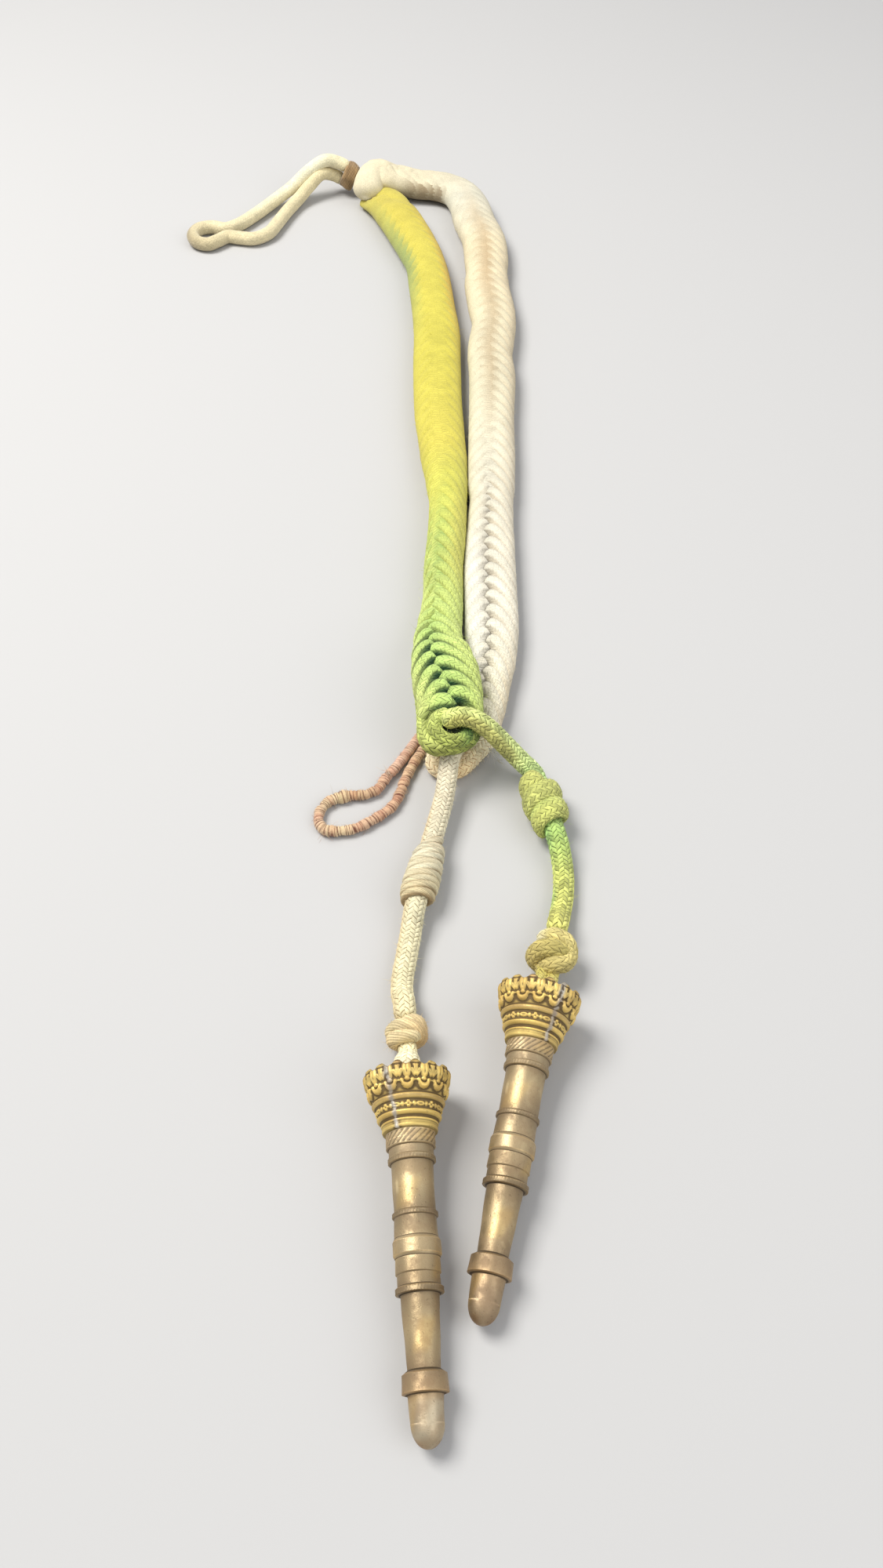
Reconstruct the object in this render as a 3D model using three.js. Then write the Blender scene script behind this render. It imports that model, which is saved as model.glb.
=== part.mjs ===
import * as THREE from 'three';
import { mergeVertices } from 'three/addons/utils/BufferGeometryUtils.js';

// Fourragere lying flat: two plaited arms joined by a whipping, a shoulder loop beyond it,
// a button loop of wound thread, and two free cords that end in brass ferrets.
// Millimetres, +Z up, the surface it lies on at z = 0, the ferrets towards -Y.

// Driving dimensions
const cordDiameter = 4.5;
const threadDiameter = 2.3;
const gap = 0.3;
const plaitPitch = 5.6;
const chevronLead = 5.4;
const lobeHeight = 0.4;
const grooveDepth = 1.0;
const plaitSides = 12;
const cordSides = 8;

// The middle of the whole outline is brought over the origin.
const layoutShift = new THREE.Vector3(0.3, 0.6, 0);

const cream = 0xe6dcc2;
const khaki = 0xc4b184;
const leafGreen = 0x7f9a3c;
const yellow = 0xbfae35;
const threadPink = 0xb98a68;
const threadBrown = 0x7d5a40;
const gilt = 0xa98a45;
const bronze = 0x7b6646;

const cloth = (color) => new THREE.MeshStandardMaterial({ color, roughness: 0.9, metalness: 0 });
const metal = (color) => new THREE.MeshStandardMaterial({ color, roughness: 0.45, metalness: 1 });

const group = new THREE.Group();
group.position.copy(layoutShift);

function addPiece(name, geometry, material) {
  const piece = new THREE.Mesh(geometry, material);
  piece.name = name;
  group.add(piece);
  return piece;
}

const vec = (p) => new THREE.Vector3(p[0], p[1], p[2]);
const lerp = THREE.MathUtils.lerp;
const degrees = Math.PI / 180;

// A closed body from rings of equal length. The last ring joins the first, or the two ends are
// shut by fans about their centres.
function solidFromRings(rings, joined = false) {
  const sides = rings[0].length;
  const points = rings.flat();
  const triangles = [];
  const bands = joined ? rings.length : rings.length - 1;
  for (let r = 0; r < bands; r += 1) {
    const here = r * sides;
    const there = ((r + 1) % rings.length) * sides;
    for (let k = 0; k < sides; k += 1) {
      const next = (k + 1) % sides;
      triangles.push([here + k, here + next, there + k], [here + next, there + next, there + k]);
    }
  }
  if (joined) return solidFromTriangles(points, triangles);
  const middle = (ring) => ring.reduce((sum, p) => sum.add(p), new THREE.Vector3()).divideScalar(sides);
  const last = (rings.length - 1) * sides;
  const startMiddle = points.push(middle(rings[0])) - 1;
  const endMiddle = points.push(middle(rings[rings.length - 1])) - 1;
  for (let k = 0; k < sides; k += 1) {
    const next = (k + 1) % sides;
    triangles.push([startMiddle, next, k], [endMiddle, last + k, last + next]);
  }
  return solidFromTriangles(points, triangles);
}

// Turns the triangles round where the enclosed volume comes out negative.
function solidFromTriangles(points, triangles) {
  let volume = 0;
  for (const [a, b, c] of triangles) {
    volume += points[a].dot(points[b].clone().cross(points[c]));
  }
  const order = triangles.map(([a, b, c]) => (volume > 0 ? [a, b, c] : [a, c, b]));
  const geometry = new THREE.BufferGeometry();
  const numbers = points.flatMap((p) => [p.x, p.y, p.z]);
  geometry.setAttribute('position', new THREE.Float32BufferAttribute(numbers, 3));
  geometry.setIndex(order.flat());
  const merged = mergeVertices(geometry, 1e-4);
  merged.computeVertexNormals();
  return merged;
}

// A round cord along a smooth route through hand-laid points, one step every `step` millimetres.
function cordAlong(points, diameter, step, sides = cordSides) {
  const route = new THREE.CatmullRomCurve3(points.map(vec), false, 'centripetal');
  const section = new THREE.Shape();
  for (let k = 0; k < sides; k += 1) {
    const angle = ((k + 0.5) / sides) * 2 * Math.PI;
    const x = (diameter / 2) * Math.cos(angle);
    const y = (diameter / 2) * Math.sin(angle);
    if (k === 0) section.moveTo(x, y);
    else section.lineTo(x, y);
  }
  const steps = Math.max(4, Math.round(route.getLength() / step));
  const tube = new THREE.ExtrudeGeometry(section, { steps, extrudePath: route, curveSegments: 1 });
  tube.deleteAttribute('normal');
  tube.deleteAttribute('uv');
  const merged = mergeVertices(tube, 1e-4);
  merged.computeVertexNormals();
  return merged;
}

// A flat plait laid through the rows of a table. Each row gives the middle of the section on the
// surface, how far its underside is lifted, its width and thickness, how far the plait is turned
// about its own length and how far the section is banked. Lobes of cord leave the middle groove
// to left and right by turns, half a pitch apart, and run back over the edges as chevrons.
function plait(rows) {
  const middles = rows.map((row) => new THREE.Vector3(row.x, row.y, 0));
  const route = new THREE.CatmullRomCurve3(middles, false, 'centripetal');
  route.arcLengthDivisions = 800;
  const length = route.getLength();
  const ringCount = Math.round(length / (plaitPitch / 2));

  const sectionAt = (share) => {
    const u = THREE.MathUtils.clamp(share, 0, 1);
    const place = route.getUtoTmapping(u) * (rows.length - 1);
    const index = Math.min(Math.floor(place), rows.length - 2);
    const mix = THREE.MathUtils.smoothstep(place - index, 0, 1);
    const between = (name) => lerp(rows[index][name] || 0, rows[index + 1][name] || 0, mix);
    const along = route.getTangentAt(u);
    return {
      middle: route.getPointAt(u),
      across: new THREE.Vector3(-along.y, along.x, 0).normalize(),
      lift: between('lift'),
      wide: between('wide'),
      thick: between('thick'),
      turn: between('turn') * degrees,
      bank: between('bank') * degrees,
    };
  };

  const rings = [];
  for (let i = 0; i <= ringCount; i += 1) {
    const share = i / ringCount;
    const endFade = THREE.MathUtils.clamp(Math.min(share, 1 - share) * length / 12, 0, 1);
    const here = sectionAt(share);
    const ring = [];
    for (let k = 0; k < plaitSides; k += 1) {
      const angle = Math.PI / 2 - (k / plaitSides) * 2 * Math.PI;
      const relief = angle - here.turn;
      const lead = chevronLead * Math.abs(Math.cos(relief)) * endFade;
      const s = sectionAt(share + lead / length);
      const side = Math.cos(relief) >= 0 ? 0 : 1;
      const lobe = (Math.abs(Math.cos(relief)) > 0.1 ? lobeHeight : 0) * ((i + side) % 2 ? -1 : 1);
      const offTop = Math.atan2(Math.sin(relief - Math.PI / 2), Math.cos(relief - Math.PI / 2));
      const groove = grooveDepth * Math.exp(-((offTop / (18 * degrees)) ** 2)) * endFade;
      const swell = lobe * endFade - groove;
      const a = Math.cos(angle) * (s.wide / 2 + swell);
      const h = s.thick * (0.5 + 0.58 * Math.sin(angle)) + swell * Math.sin(angle);
      const height = THREE.MathUtils.clamp(h, 0, s.thick + lobeHeight) - s.thick / 2;
      const sideways = a * Math.cos(s.bank) - height * Math.sin(s.bank);
      const up = a * Math.sin(s.bank) + height * Math.cos(s.bank);
      const p = s.middle.clone().addScaledVector(s.across, sideways);
      p.z = Math.max(0, s.lift + s.thick / 2 + up);
      ring.push(p);
    }
    rings.push(ring);
  }
  return solidFromRings(rings);
}

// Rings about an axis from rows of [distance along it, radius]. relief(row, k) gives how far
// the k-th point of a row moves along the axis and outwards.
function turnedRings(rows, from, along, sides, relief = () => [0, 0]) {
  const axis = along.clone().normalize();
  const sideways = new THREE.Vector3(0, 0, 1).cross(axis).normalize();
  const upwards = axis.clone().cross(sideways);
  return rows.map(([s, r], row) => {
    const ring = [];
    for (let k = 0; k < sides; k += 1) {
      const angle = (k / sides) * 2 * Math.PI;
      const [ds, dr] = relief(row, k);
      const p = from.clone().addScaledVector(axis, s + ds);
      p.addScaledVector(sideways, (r + dr) * Math.cos(angle));
      p.addScaledVector(upwards, (r + dr) * Math.sin(angle));
      ring.push(p);
    }
    return ring;
  });
}

// A turned body whose first and last rows lie on the axis
const turned = (rows, from, along, sides, relief) => (
  solidFromRings(turnedRings(rows.slice(1, -1), from, along, sides, relief))
);

// A turned sleeve whose rows close on themselves round an open bore
const turnedRing = (rows, from, along, sides) => (
  solidFromRings(turnedRings(rows, from, along, sides), true)
);

// The two arms, from the whipping to their free ends.
const greenRows = [
  { x: 3.2, y: 202.2, lift: 0, wide: 9, thick: 3.4 },
  { x: 6.6, y: 198.3, lift: 0, wide: 12.0, thick: 4.0 },
  { x: 11.1, y: 191.3, lift: 0, wide: 14.0, thick: 7.2 },
  { x: 15.6, y: 181.5, lift: 0, wide: 15.8, thick: 8.6 },
  { x: 20.0, y: 168.8, lift: 0, wide: 15.6, thick: 8.6 },
  { x: 23.4, y: 157.8, lift: 0, wide: 15.0, thick: 8.6 },
  { x: 27.8, y: 131.7, lift: 0, wide: 14.2, thick: 8.6 },
  { x: 30.0, y: 106.0, lift: 0, wide: 14.0, thick: 8.6 },
  { x: 30.1, y: 86.0, lift: 0, wide: 14.6, thick: 8.6 },
  { x: 30.6, y: 62.0, lift: 0, wide: 14.4, thick: 8.6 },
  { x: 32.0, y: 41.0, lift: 0, wide: 13.0, thick: 8.8, turn: 8 },
  { x: 33.0, y: 24.0, lift: 0, wide: 11.0, thick: 10.2, turn: 38 },
  { x: 32.8, y: 3.0, lift: 0, wide: 10.0, thick: 11.0, turn: 55 },
  { x: 31.8, y: -16.0, lift: 0, wide: 10.4, thick: 10.6, turn: 45 },
  { x: 30.8, y: -30.0, lift: 0.8, wide: 11.4, thick: 9.6, turn: 15 },
  { x: 30.8, y: -40.0, lift: 5.2, wide: 13.0, thick: 8.6, bank: 6 },
  { x: 32.0, y: -49.0, lift: 8.4, wide: 15.4, thick: 8.4, bank: 5 },
  { x: 32.8, y: -57.0, lift: 9.2, wide: 15.8, thick: 8.4, bank: 3 },
  { x: 33.3, y: -63.6, lift: 9.4, wide: 15.0, thick: 8.2 },
  { x: 33.4, y: -68.2, lift: 9.6, wide: 13.0, thick: 7.8 },
];

const whiteRows = [
  { x: 0.9, y: 207.5, lift: 3.2, wide: 9, thick: 6.0 },
  { x: 4.0, y: 206.4, lift: 4.6, wide: 14.5, thick: 7.4 },
  { x: 9.0, y: 206.2, lift: 4.4, wide: 16.0, thick: 7.8 },
  { x: 15.5, y: 206.4, lift: 1.8, wide: 15.2, thick: 8.2 },
  { x: 23.0, y: 205.4, lift: 0, wide: 14.6, thick: 8.6 },
  { x: 31.0, y: 203.0, lift: 0, wide: 14.4, thick: 8.6 },
  { x: 37.6, y: 198.0, lift: 0, wide: 14.2, thick: 8.6 },
  { x: 41.6, y: 189.5, lift: 0, wide: 14.6, thick: 8.6 },
  { x: 43.4, y: 177.5, lift: 0, wide: 15.2, thick: 8.6 },
  { x: 46.3, y: 158.0, lift: 0, wide: 14.6, thick: 8.6 },
  { x: 47.0, y: 139.0, lift: 0, wide: 14.2, thick: 8.6 },
  { x: 48.5, y: 111.0, lift: 0, wide: 14.0, thick: 8.6 },
  { x: 47.4, y: 87.0, lift: 0, wide: 14.4, thick: 8.6 },
  { x: 46.6, y: 62.0, lift: 0, wide: 13.2, thick: 8.6 },
  { x: 46.2, y: 34.0, lift: 0, wide: 13.0, thick: 8.6 },
  { x: 45.2, y: 2.0, lift: 0, wide: 13.2, thick: 8.6 },
  { x: 44.4, y: -22.0, lift: 0, wide: 13.4, thick: 8.4 },
  { x: 43.8, y: -38.0, lift: 0, wide: 12.8, thick: 7.8 },
  { x: 42.0, y: -50.0, lift: 0, wide: 12.2, thick: 7.4 },
  { x: 40.1, y: -58.5, lift: 0, wide: 12.2, thick: 7.2 },
  { x: 38.4, y: -64.6, lift: 0, wide: 12.4, thick: 6.8 },
];

addPiece('green_plait', plait(greenRows), cloth(yellow));
addPiece('white_plait', plait(whiteRows), cloth(cream));

// Whipping of brown thread round the roots of the loop and of the arms
const whippingRadius = 4.8;
const whippingLength = 4.0;
const whippingMiddle = new THREE.Vector3(-3.2, 208.9, 6.4);
const whippingAxis = new THREE.Vector3(0.86, -0.12, -0.42).normalize();
const whippingUp = whippingAxis.clone().cross(new THREE.Vector3(0, 0, 1)).normalize().cross(whippingAxis);

function whipping() {
  const turns = 3;
  const rows = [[0, 0], [0, whippingRadius - 0.35]];
  for (let k = 0; k < turns; k += 1) {
    rows.push([((k + 0.5) / turns) * whippingLength, whippingRadius]);
    rows.push([((k + 1) / turns) * whippingLength, whippingRadius - 0.35]);
  }
  rows.push([whippingLength, 0]);
  const from = whippingMiddle.clone().addScaledVector(whippingAxis, -whippingLength / 2);
  return turned(rows, from, whippingAxis, 12);
}
addPiece('loop_whipping', whipping(), cloth(threadBrown));

// Where one run of the shoulder loop meets the whipping: side 1 is the upper run, -1 the lower
function loopRoot(side, out) {
  const p = whippingMiddle.clone();
  p.addScaledVector(whippingAxis, -(whippingLength / 2 + gap + out));
  p.addScaledVector(whippingUp, side * (cordDiameter / 2 + gap));
  return [p.x, p.y, p.z];
}

// Shoulder loop: one cord that leaves the whipping, crests, lies down, turns back round a
// small eye and returns beside itself, with the button slit left open between its two runs
const lying = cordDiameter / 2 + 0.1;
const loopRoute = [
  loopRoot(1, 0),
  loopRoot(1, 2.5),
  [-11.4, 208.9, 12.6],
  [-17.6, 207.6, 9.8],
  [-24.2, 203.4, 5.2],
  [-30.4, 196.8, 2.8],
  [-36.6, 187.2, lying],
  [-42.2, 179.4, lying],
  [-46.4, 176.6, lying],
  [-51.4, 178.0, lying],
  [-55.8, 176.4, lying],
  [-57.4, 171.8, lying],
  [-55.4, 167.2, lying],
  [-51.4, 165.6, lying],
  [-48.0, 168.2, lying],
  [-45.0, 170.9, lying],
  [-40.6, 170.2, lying],
  [-35.4, 169.6, lying],
  [-30.8, 173.2, lying],
  [-28.0, 180.6, lying],
  [-25.4, 189.0, lying],
  [-21.8, 197.2, lying],
  [-17.6, 202.8, 4.2],
  [-13.4, 206.8, 6.8],
  loopRoot(-1, 2.5),
  loopRoot(-1, 0),
];
addPiece('shoulder_loop', cordAlong(loopRoute, cordDiameter, 4.6), cloth(cream));

// Cord turns that finish the two plaits, each one lobe bent round the end
const greenTurnRoute = [
  [28.7, -69.4, 12.2],
  [28.2, -71.2, 12.2],
  [28.2, -74.0, 12.2],
  [29.8, -76.4, 12.0],
  [33.0, -76.3, 11.9],
  [36.0, -75.2, 11.6],
  [37.8, -72.8, 11.0],
  [38.2, -70.6, 10.9],
  [38.1, -69.4, 11.0],
];
addPiece('green_end_turn', cordAlong(greenTurnRoute, cordDiameter, 3), cloth(leafGreen));

const whiteTurnRoute = [
  [42.0, -67.1, lying],
  [40.9, -68.7, lying],
  [39.2, -70.8, lying],
  [37.3, -73.4, lying],
  [35.4, -75.2, lying],
  [32.4, -75.9, lying],
  [30.2, -74.3, lying],
  [30.3, -71.4, lying],
  [32.8, -67.2, lying],
  [33.6, -65.2, lying],
];
addPiece('white_end_turn', cordAlong(whiteTurnRoute, cordDiameter, 3), cloth(khaki));

// Button loop of wound thread, stitched in under the plait ends
const threadLying = threadDiameter / 2;
const threadRoute = [
  [28.6, -61.4, 1.6],
  [25.9, -65.2, threadLying],
  [24.1, -68.6, 1.4],
  [22.5, -71.4, 1.4],
  [20.7, -74.2, threadLying],
  [18.7, -77.0, threadLying],
  [17.0, -80.2, threadLying],
  [14.1, -81.9, threadLying],
  [10.2, -82.3, threadLying],
  [6.3, -83.7, threadLying],
  [4.2, -86.4, threadLying],
  [3.9, -89.5, threadLying],
  [5.4, -91.9, threadLying],
  [8.8, -92.3, threadLying],
  [12.6, -91.4, threadLying],
  [16.3, -89.0, threadLying],
  [19.3, -86.6, threadLying],
  [21.2, -83.9, threadLying],
  [22.2, -80.7, threadLying],
  [23.5, -76.6, threadLying],
  [25.0, -72.8, threadLying],
  [26.6, -69.6, threadLying],
  [28.8, -66.2, threadLying],
  [31.2, -62.2, 1.6],
];
addPiece('thread_loop', cordAlong(threadRoute, threadDiameter, 4.2), cloth(threadPink));

// The point on the line through two points that lies `distance` past the first, towards the second
function beyond(first, second, distance) {
  const along = vec(second).sub(vec(first)).normalize();
  return vec(first).addScaledVector(along, distance).toArray();
}

// A sleeve of cord wound round a free cord: an outer wall of windings over an open bore
function slideKnot(from, to, radius, windings) {
  const axis = to.clone().sub(from);
  const length = axis.length();
  const bore = cordDiameter / 2 + 0.5;
  const rows = [[0, bore], [0, radius - 1.4]];
  for (let k = 0; k < windings; k += 1) {
    const crown = Math.sin(((k + 0.5) / windings) * Math.PI);
    rows.push([((k + 0.5) / windings) * length, radius - 0.7 + 0.7 * crown]);
    if (k < windings - 1) rows.push([((k + 1) / windings) * length, radius - 0.8]);
  }
  rows.push([length, radius - 1.4], [length, bore]);
  return turnedRing(rows, from, axis, 12);
}

// A stopper knot: a fat double turn of the cord, wider than it is high
function endKnot(from, to, radius, widen) {
  const axis = to.clone().sub(from);
  const length = axis.length();
  const rows = [
    [0, 0],
    [0, radius * 0.5],
    [length * 0.12, radius * 0.88],
    [length * 0.32, radius],
    [length * 0.5, radius * 0.9],
    [length * 0.7, radius * 0.98],
    [length * 0.9, radius * 0.8],
    [length, radius * 0.45],
    [length, 0],
  ];
  const spread = (row, k) => [0, widen * Math.cos((k / 12) * 2 * Math.PI) ** 2];
  return turned(rows, from, axis, 12, spread);
}

// Free cords, from the plait ends through their slide knots down to the stopper knots
const greenKnotTop = [52.6, -78.9, 4.7];
const greenKnotFoot = [56.5, -95.6, 4.7];
const greenStopTop = [54.9, -121.8, 4.7];
const greenStopFoot = [52.9, -130.2, 4.7];
const greenCordRoute = [
  [32.0, -73.4, 15.2],
  [33.6, -71.9, 15.8],
  [36.2, -71.5, 16.2],
  [38.9, -72.2, 16.0],
  [41.9, -73.0, 14.0],
  [45.0, -73.7, 10.4],
  [47.7, -74.6, 7.4],
  [49.9, -75.9, 5.6],
  [51.6, -77.3, 4.8],
  greenKnotTop,
  [54.5, -87.2, 4.7],
  greenKnotFoot,
  [57.1, -98.6, 4.2],
  [57.6, -101.8, 3.0],
  [57.8, -105.6, lying],
  [57.3, -111.0, lying],
  [56.4, -115.4, 2.8],
  beyond(greenStopTop, greenStopFoot, -2.6),
  beyond(greenStopTop, greenStopFoot, -gap),
];
addPiece('green_cord', cordAlong(greenCordRoute, cordDiameter, 4.5), cloth(leafGreen));
addPiece('green_slide_knot', slideKnot(vec(greenKnotTop), vec(greenKnotFoot), 4.6, 3), cloth(leafGreen));
addPiece('green_end_knot', endKnot(vec(greenStopTop), vec(greenStopFoot), 4.3, 0.9), cloth(leafGreen));

const whiteKnotTop = [29.2, -98.2, 4.3];
const whiteKnotFoot = [26.1, -113.6, 4.3];
const whiteStopTop = [24.3, -139.4, 4.2];
const whiteStopFoot = [24.9, -146.6, 4.3];
const whiteCordRoute = [
  [37.7, -66.2, 4.9],
  [37.2, -67.8, 5.2],
  [35.1, -71.4, 6.3],
  [33.9, -74.6, 7.1],
  [33.2, -77.8, 7.2],
  [32.7, -81.4, 5.8],
  [32.1, -85.6, 4.8],
  [30.8, -91.4, 4.4],
  whiteKnotTop,
  [27.6, -106.0, 4.3],
  whiteKnotFoot,
  [25.5, -117.0, 3.6],
  [25.0, -120.6, 2.5],
  [24.3, -125.4, lying],
  [23.6, -130.6, lying],
  [23.6, -134.2, 2.9],
  beyond(whiteStopTop, whiteStopFoot, -2.6),
  beyond(whiteStopTop, whiteStopFoot, -gap),
];
addPiece('white_cord', cordAlong(whiteCordRoute, cordDiameter, 4.5), cloth(khaki));
addPiece('white_slide_knot', slideKnot(vec(whiteKnotTop), vec(whiteKnotFoot), 4.2, 4), cloth(khaki));
addPiece('white_end_knot', endKnot(vec(whiteStopTop), vec(whiteStopFoot), 4.1, 0.4), cloth(khaki));

// Ferrets: a stamped crown cup on a turned tag, resting on the crown's rim and the tag's collar
const mouthHeight = 8.25;
const ferretTilt = 4.44 * degrees;
const crownLength = 12.4;
const fleurons = 14;
const crownRows = [
  { s: 9.0, r: 0 },
  { s: 9.0, r: 3.9 },
  { s: 4.6, r: 5.3 },
  { s: 0.9, r: 6.9, scallop: 0.5 },
  { s: 0.0, r: 7.6, scallop: 0.8 },
  { s: 1.0, r: 8.0, scallop: 0.5, swell: 0.12 },
  { s: 2.8, r: 7.3, swell: -0.15 },
  { s: 4.2, r: 7.45, swell: -0.25 },
  { s: 5.3, r: 6.45 },
  { s: 6.2, r: 6.75 },
  { s: 7.0, r: 6.15 },
  { s: 8.0, r: 6.2, swell: 0.15 },
  { s: 8.6, r: 5.6 },
  { s: 9.4, r: 5.95 },
  { s: 10.2, r: 5.2 },
  { s: 10.6, r: 5.35 },
  { s: crownLength, r: 4.95 },
  { s: crownLength, r: 0 },
];

const tagRows = [
  { s: crownLength + gap, r: 0 },
  { s: crownLength + gap, r: 4.5 },
  { s: 15.3, r: 4.5 },
  { s: 15.5, r: 4.05 },
  { s: 16.9, r: 4.1 },
  { s: 17.2, r: 4.35 },
  { s: 17.9, r: 4.35 },
  { s: 18.1, r: 3.8 },
  { s: 26.5, r: 3.7 },
  { s: 26.8, r: 4.1 },
  { s: 27.4, r: 4.1 },
  { s: 27.6, r: 3.75 },
  { s: 30.9, r: 3.85 },
  { s: 31.6, r: 4.2 },
  { s: 33.8, r: 4.2 },
  { s: 34.4, r: 3.85 },
  { s: 36.8, r: 3.9 },
  { s: 37.0, r: 3.65 },
  { s: 38.8, r: 3.7 },
  { s: 39.2, r: 4.15 },
  { s: 40.0, r: 4.15 },
  { s: 40.2, r: 3.3 },
  { s: 51.7, r: 2.8 },
  { s: 52.4, r: 3.8 },
  { s: 55.2, r: 3.95 },
  { s: 55.5, r: 3.0 },
  { s: 61.6, r: 2.55 },
  { s: 62.8, r: 1.9 },
  { s: 63.2, r: 0.9 },
  { s: 63.2, r: 0 },
];

const asPairs = (rows) => rows.map((row) => [row.s, row.r]);

function addFerret(name, mouth, heading) {
  const flat = new THREE.Vector3(Math.sin(heading), -Math.cos(heading), 0);
  const axis = flat.multiplyScalar(Math.cos(ferretTilt));
  axis.z = -Math.sin(ferretTilt);
  const relief = (row, k) => {
    const wave = k % 2 ? 1 : -1;
    const { scallop = 0, swell = 0 } = crownRows[row + 1];
    return [wave * scallop, -wave * swell];
  };
  const crown = turned(asPairs(crownRows), mouth, axis, fleurons * 2, relief);
  addPiece(`${name}_crown`, crown, metal(gilt));
  addPiece(`${name}_tag`, turned(asPairs(tagRows), mouth, axis, 14), metal(bronze));
  return (s) => mouth.clone().addScaledVector(axis, s).toArray();
}

const greenMouth = new THREE.Vector3(51.1, -135.4, mouthHeight);
const whiteMouth = new THREE.Vector3(24.9, -152.7, mouthHeight);
const greenAxisAt = addFerret('green', greenMouth, -12 * degrees);
const whiteAxisAt = addFerret('white', whiteMouth, 4.2 * degrees);

// Tails of cord from the stopper knots into the crowns
const tailDiameter = 4.0;
const greenTailRoute = [
  beyond(greenStopFoot, greenStopTop, -gap),
  beyond(greenStopFoot, greenStopTop, -1.6),
  greenAxisAt(0.5),
  greenAxisAt(5),
  greenAxisAt(8.6),
];
const whiteTailRoute = [
  beyond(whiteStopFoot, whiteStopTop, -gap),
  beyond(whiteStopFoot, whiteStopTop, -1.6),
  whiteAxisAt(0.5),
  whiteAxisAt(5),
  whiteAxisAt(8.6),
];
addPiece('green_cord_tail', cordAlong(greenTailRoute, tailDiameter, 3), cloth(leafGreen));
addPiece('white_cord_tail', cordAlong(whiteTailRoute, tailDiameter, 3), cloth(cream));

export default group;
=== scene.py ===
import math

import bpy
import numpy as np
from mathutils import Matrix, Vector


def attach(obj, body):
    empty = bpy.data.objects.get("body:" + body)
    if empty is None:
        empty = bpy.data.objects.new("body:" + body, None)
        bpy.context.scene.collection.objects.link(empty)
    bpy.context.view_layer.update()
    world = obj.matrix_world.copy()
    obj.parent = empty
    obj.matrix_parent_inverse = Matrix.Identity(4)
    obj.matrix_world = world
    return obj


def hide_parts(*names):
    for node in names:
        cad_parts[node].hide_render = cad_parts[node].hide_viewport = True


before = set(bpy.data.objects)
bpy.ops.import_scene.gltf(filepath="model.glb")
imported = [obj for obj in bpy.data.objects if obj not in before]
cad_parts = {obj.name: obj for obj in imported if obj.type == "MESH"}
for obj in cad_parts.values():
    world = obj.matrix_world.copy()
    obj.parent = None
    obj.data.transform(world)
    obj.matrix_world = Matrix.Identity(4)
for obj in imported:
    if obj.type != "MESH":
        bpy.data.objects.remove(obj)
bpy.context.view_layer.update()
print("frame loaded")

mm = 0.001
layoutShift = np.array([0.3, 0.6, 0.0])  # the routes are laid out before the outline is centred

# Camera, floor and light
shot = {
    "place": (31.8, -252.9, 219.4),  # mm
    "pitch": 51.33,  # degrees below the horizon
    "lens": 27.9,
    "sensor": 36.0,
    "nearest": 0.01,  # m
    # each light: place, size in m, power in W, colour
    "lights": {
        "keyLight": ((-0.45, 0.15, 0.9), 0.5, 13, (1.0, 0.98, 0.95)),
        "fillLight": ((0.8, -0.5, 0.8), 1.0, 6, (0.95, 0.97, 1.0)),
    },
    "aim": (0.02, 0, 0),
    "floorSize": 6.0,  # m
    "floorHeight": -0.0001,
    "floorColor": (0.47, 0.466, 0.457, 1),
    "floorRoughness": 0.9,
    "skyColor": (0.95, 0.96, 1.0, 1),
    "skyStrength": 0.55,
}


def placeCamera():
    data = bpy.data.cameras.new("camera")
    data.lens = shot["lens"]
    data.sensor_width = shot["sensor"]
    data.clip_start = shot["nearest"]
    camera = bpy.data.objects.new("camera", data)
    camera.location = [x * mm for x in shot["place"]]
    camera.rotation_euler = (math.radians(90 - shot["pitch"]), 0, 0)
    bpy.context.collection.objects.link(camera)
    bpy.context.scene.camera = camera


def addLight(name, place, size, power, color):
    data = bpy.data.lights.new(name, "AREA")
    data.size = size
    data.energy = power
    data.color = color
    light = bpy.data.objects.new(name, data)
    light.location = place
    light.rotation_euler = (Vector(shot["aim"]) - Vector(place)).to_track_quat("-Z", "Y").to_euler()
    bpy.context.collection.objects.link(light)


def addFloor():
    half = shot["floorSize"] / 2
    mesh = bpy.data.meshes.new("floor")
    corners = [(x * half, y * half, shot["floorHeight"]) for x, y in ((-1, -1), (1, -1), (1, 1), (-1, 1))]
    mesh.from_pydata(corners, [], [(0, 1, 2, 3)])
    floor = bpy.data.objects.new("floor", mesh)
    bpy.context.collection.objects.link(floor)
    paint = bpy.data.materials.new("paleFloor")
    paint.use_nodes = True
    skin = paint.node_tree.nodes["Principled BSDF"]
    skin.inputs["Base Color"].default_value = shot["floorColor"]
    skin.inputs["Roughness"].default_value = shot["floorRoughness"]
    mesh.materials.append(paint)


placeCamera()
for name, light in shot["lights"].items():
    addLight(name, *light)
addFloor()
world = bpy.data.worlds.new("studio")
world.use_nodes = True
sky = world.node_tree.nodes["Background"].inputs
sky["Color"].default_value = shot["skyColor"]
sky["Strength"].default_value = shot["skyStrength"]
bpy.context.scene.world = world
bpy.context.scene.view_settings.view_transform = "Standard"
print("camera, floor and lights set")


# Geometry helpers. Lengths are millimetres until a mesh is made.
def unit(v):
    return v / np.maximum(np.linalg.norm(v, axis=-1, keepdims=True), 1e-9)


def smoothstep(low, high, x):
    t = np.clip((x - low) / (high - low), 0, 1)
    return t * t * (3 - 2 * t)


def bell(x, middle, width):
    return np.exp(-(((x - middle) / width) ** 2))


def readOff(table, x, column=1):
    # each row of the table starts with its place; between two rows the values run evenly
    return np.interp(x, [row[0] for row in table], [row[column] for row in table])


def rowsAt(x, places, rows):
    # every column of the rows, read at x
    return np.stack([np.interp(x, places, column) for column in np.transpose(rows)], -1)


def aboveGround(points, least=0.02):
    points[..., 2] = np.maximum(points[..., 2], least)
    return points


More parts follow.
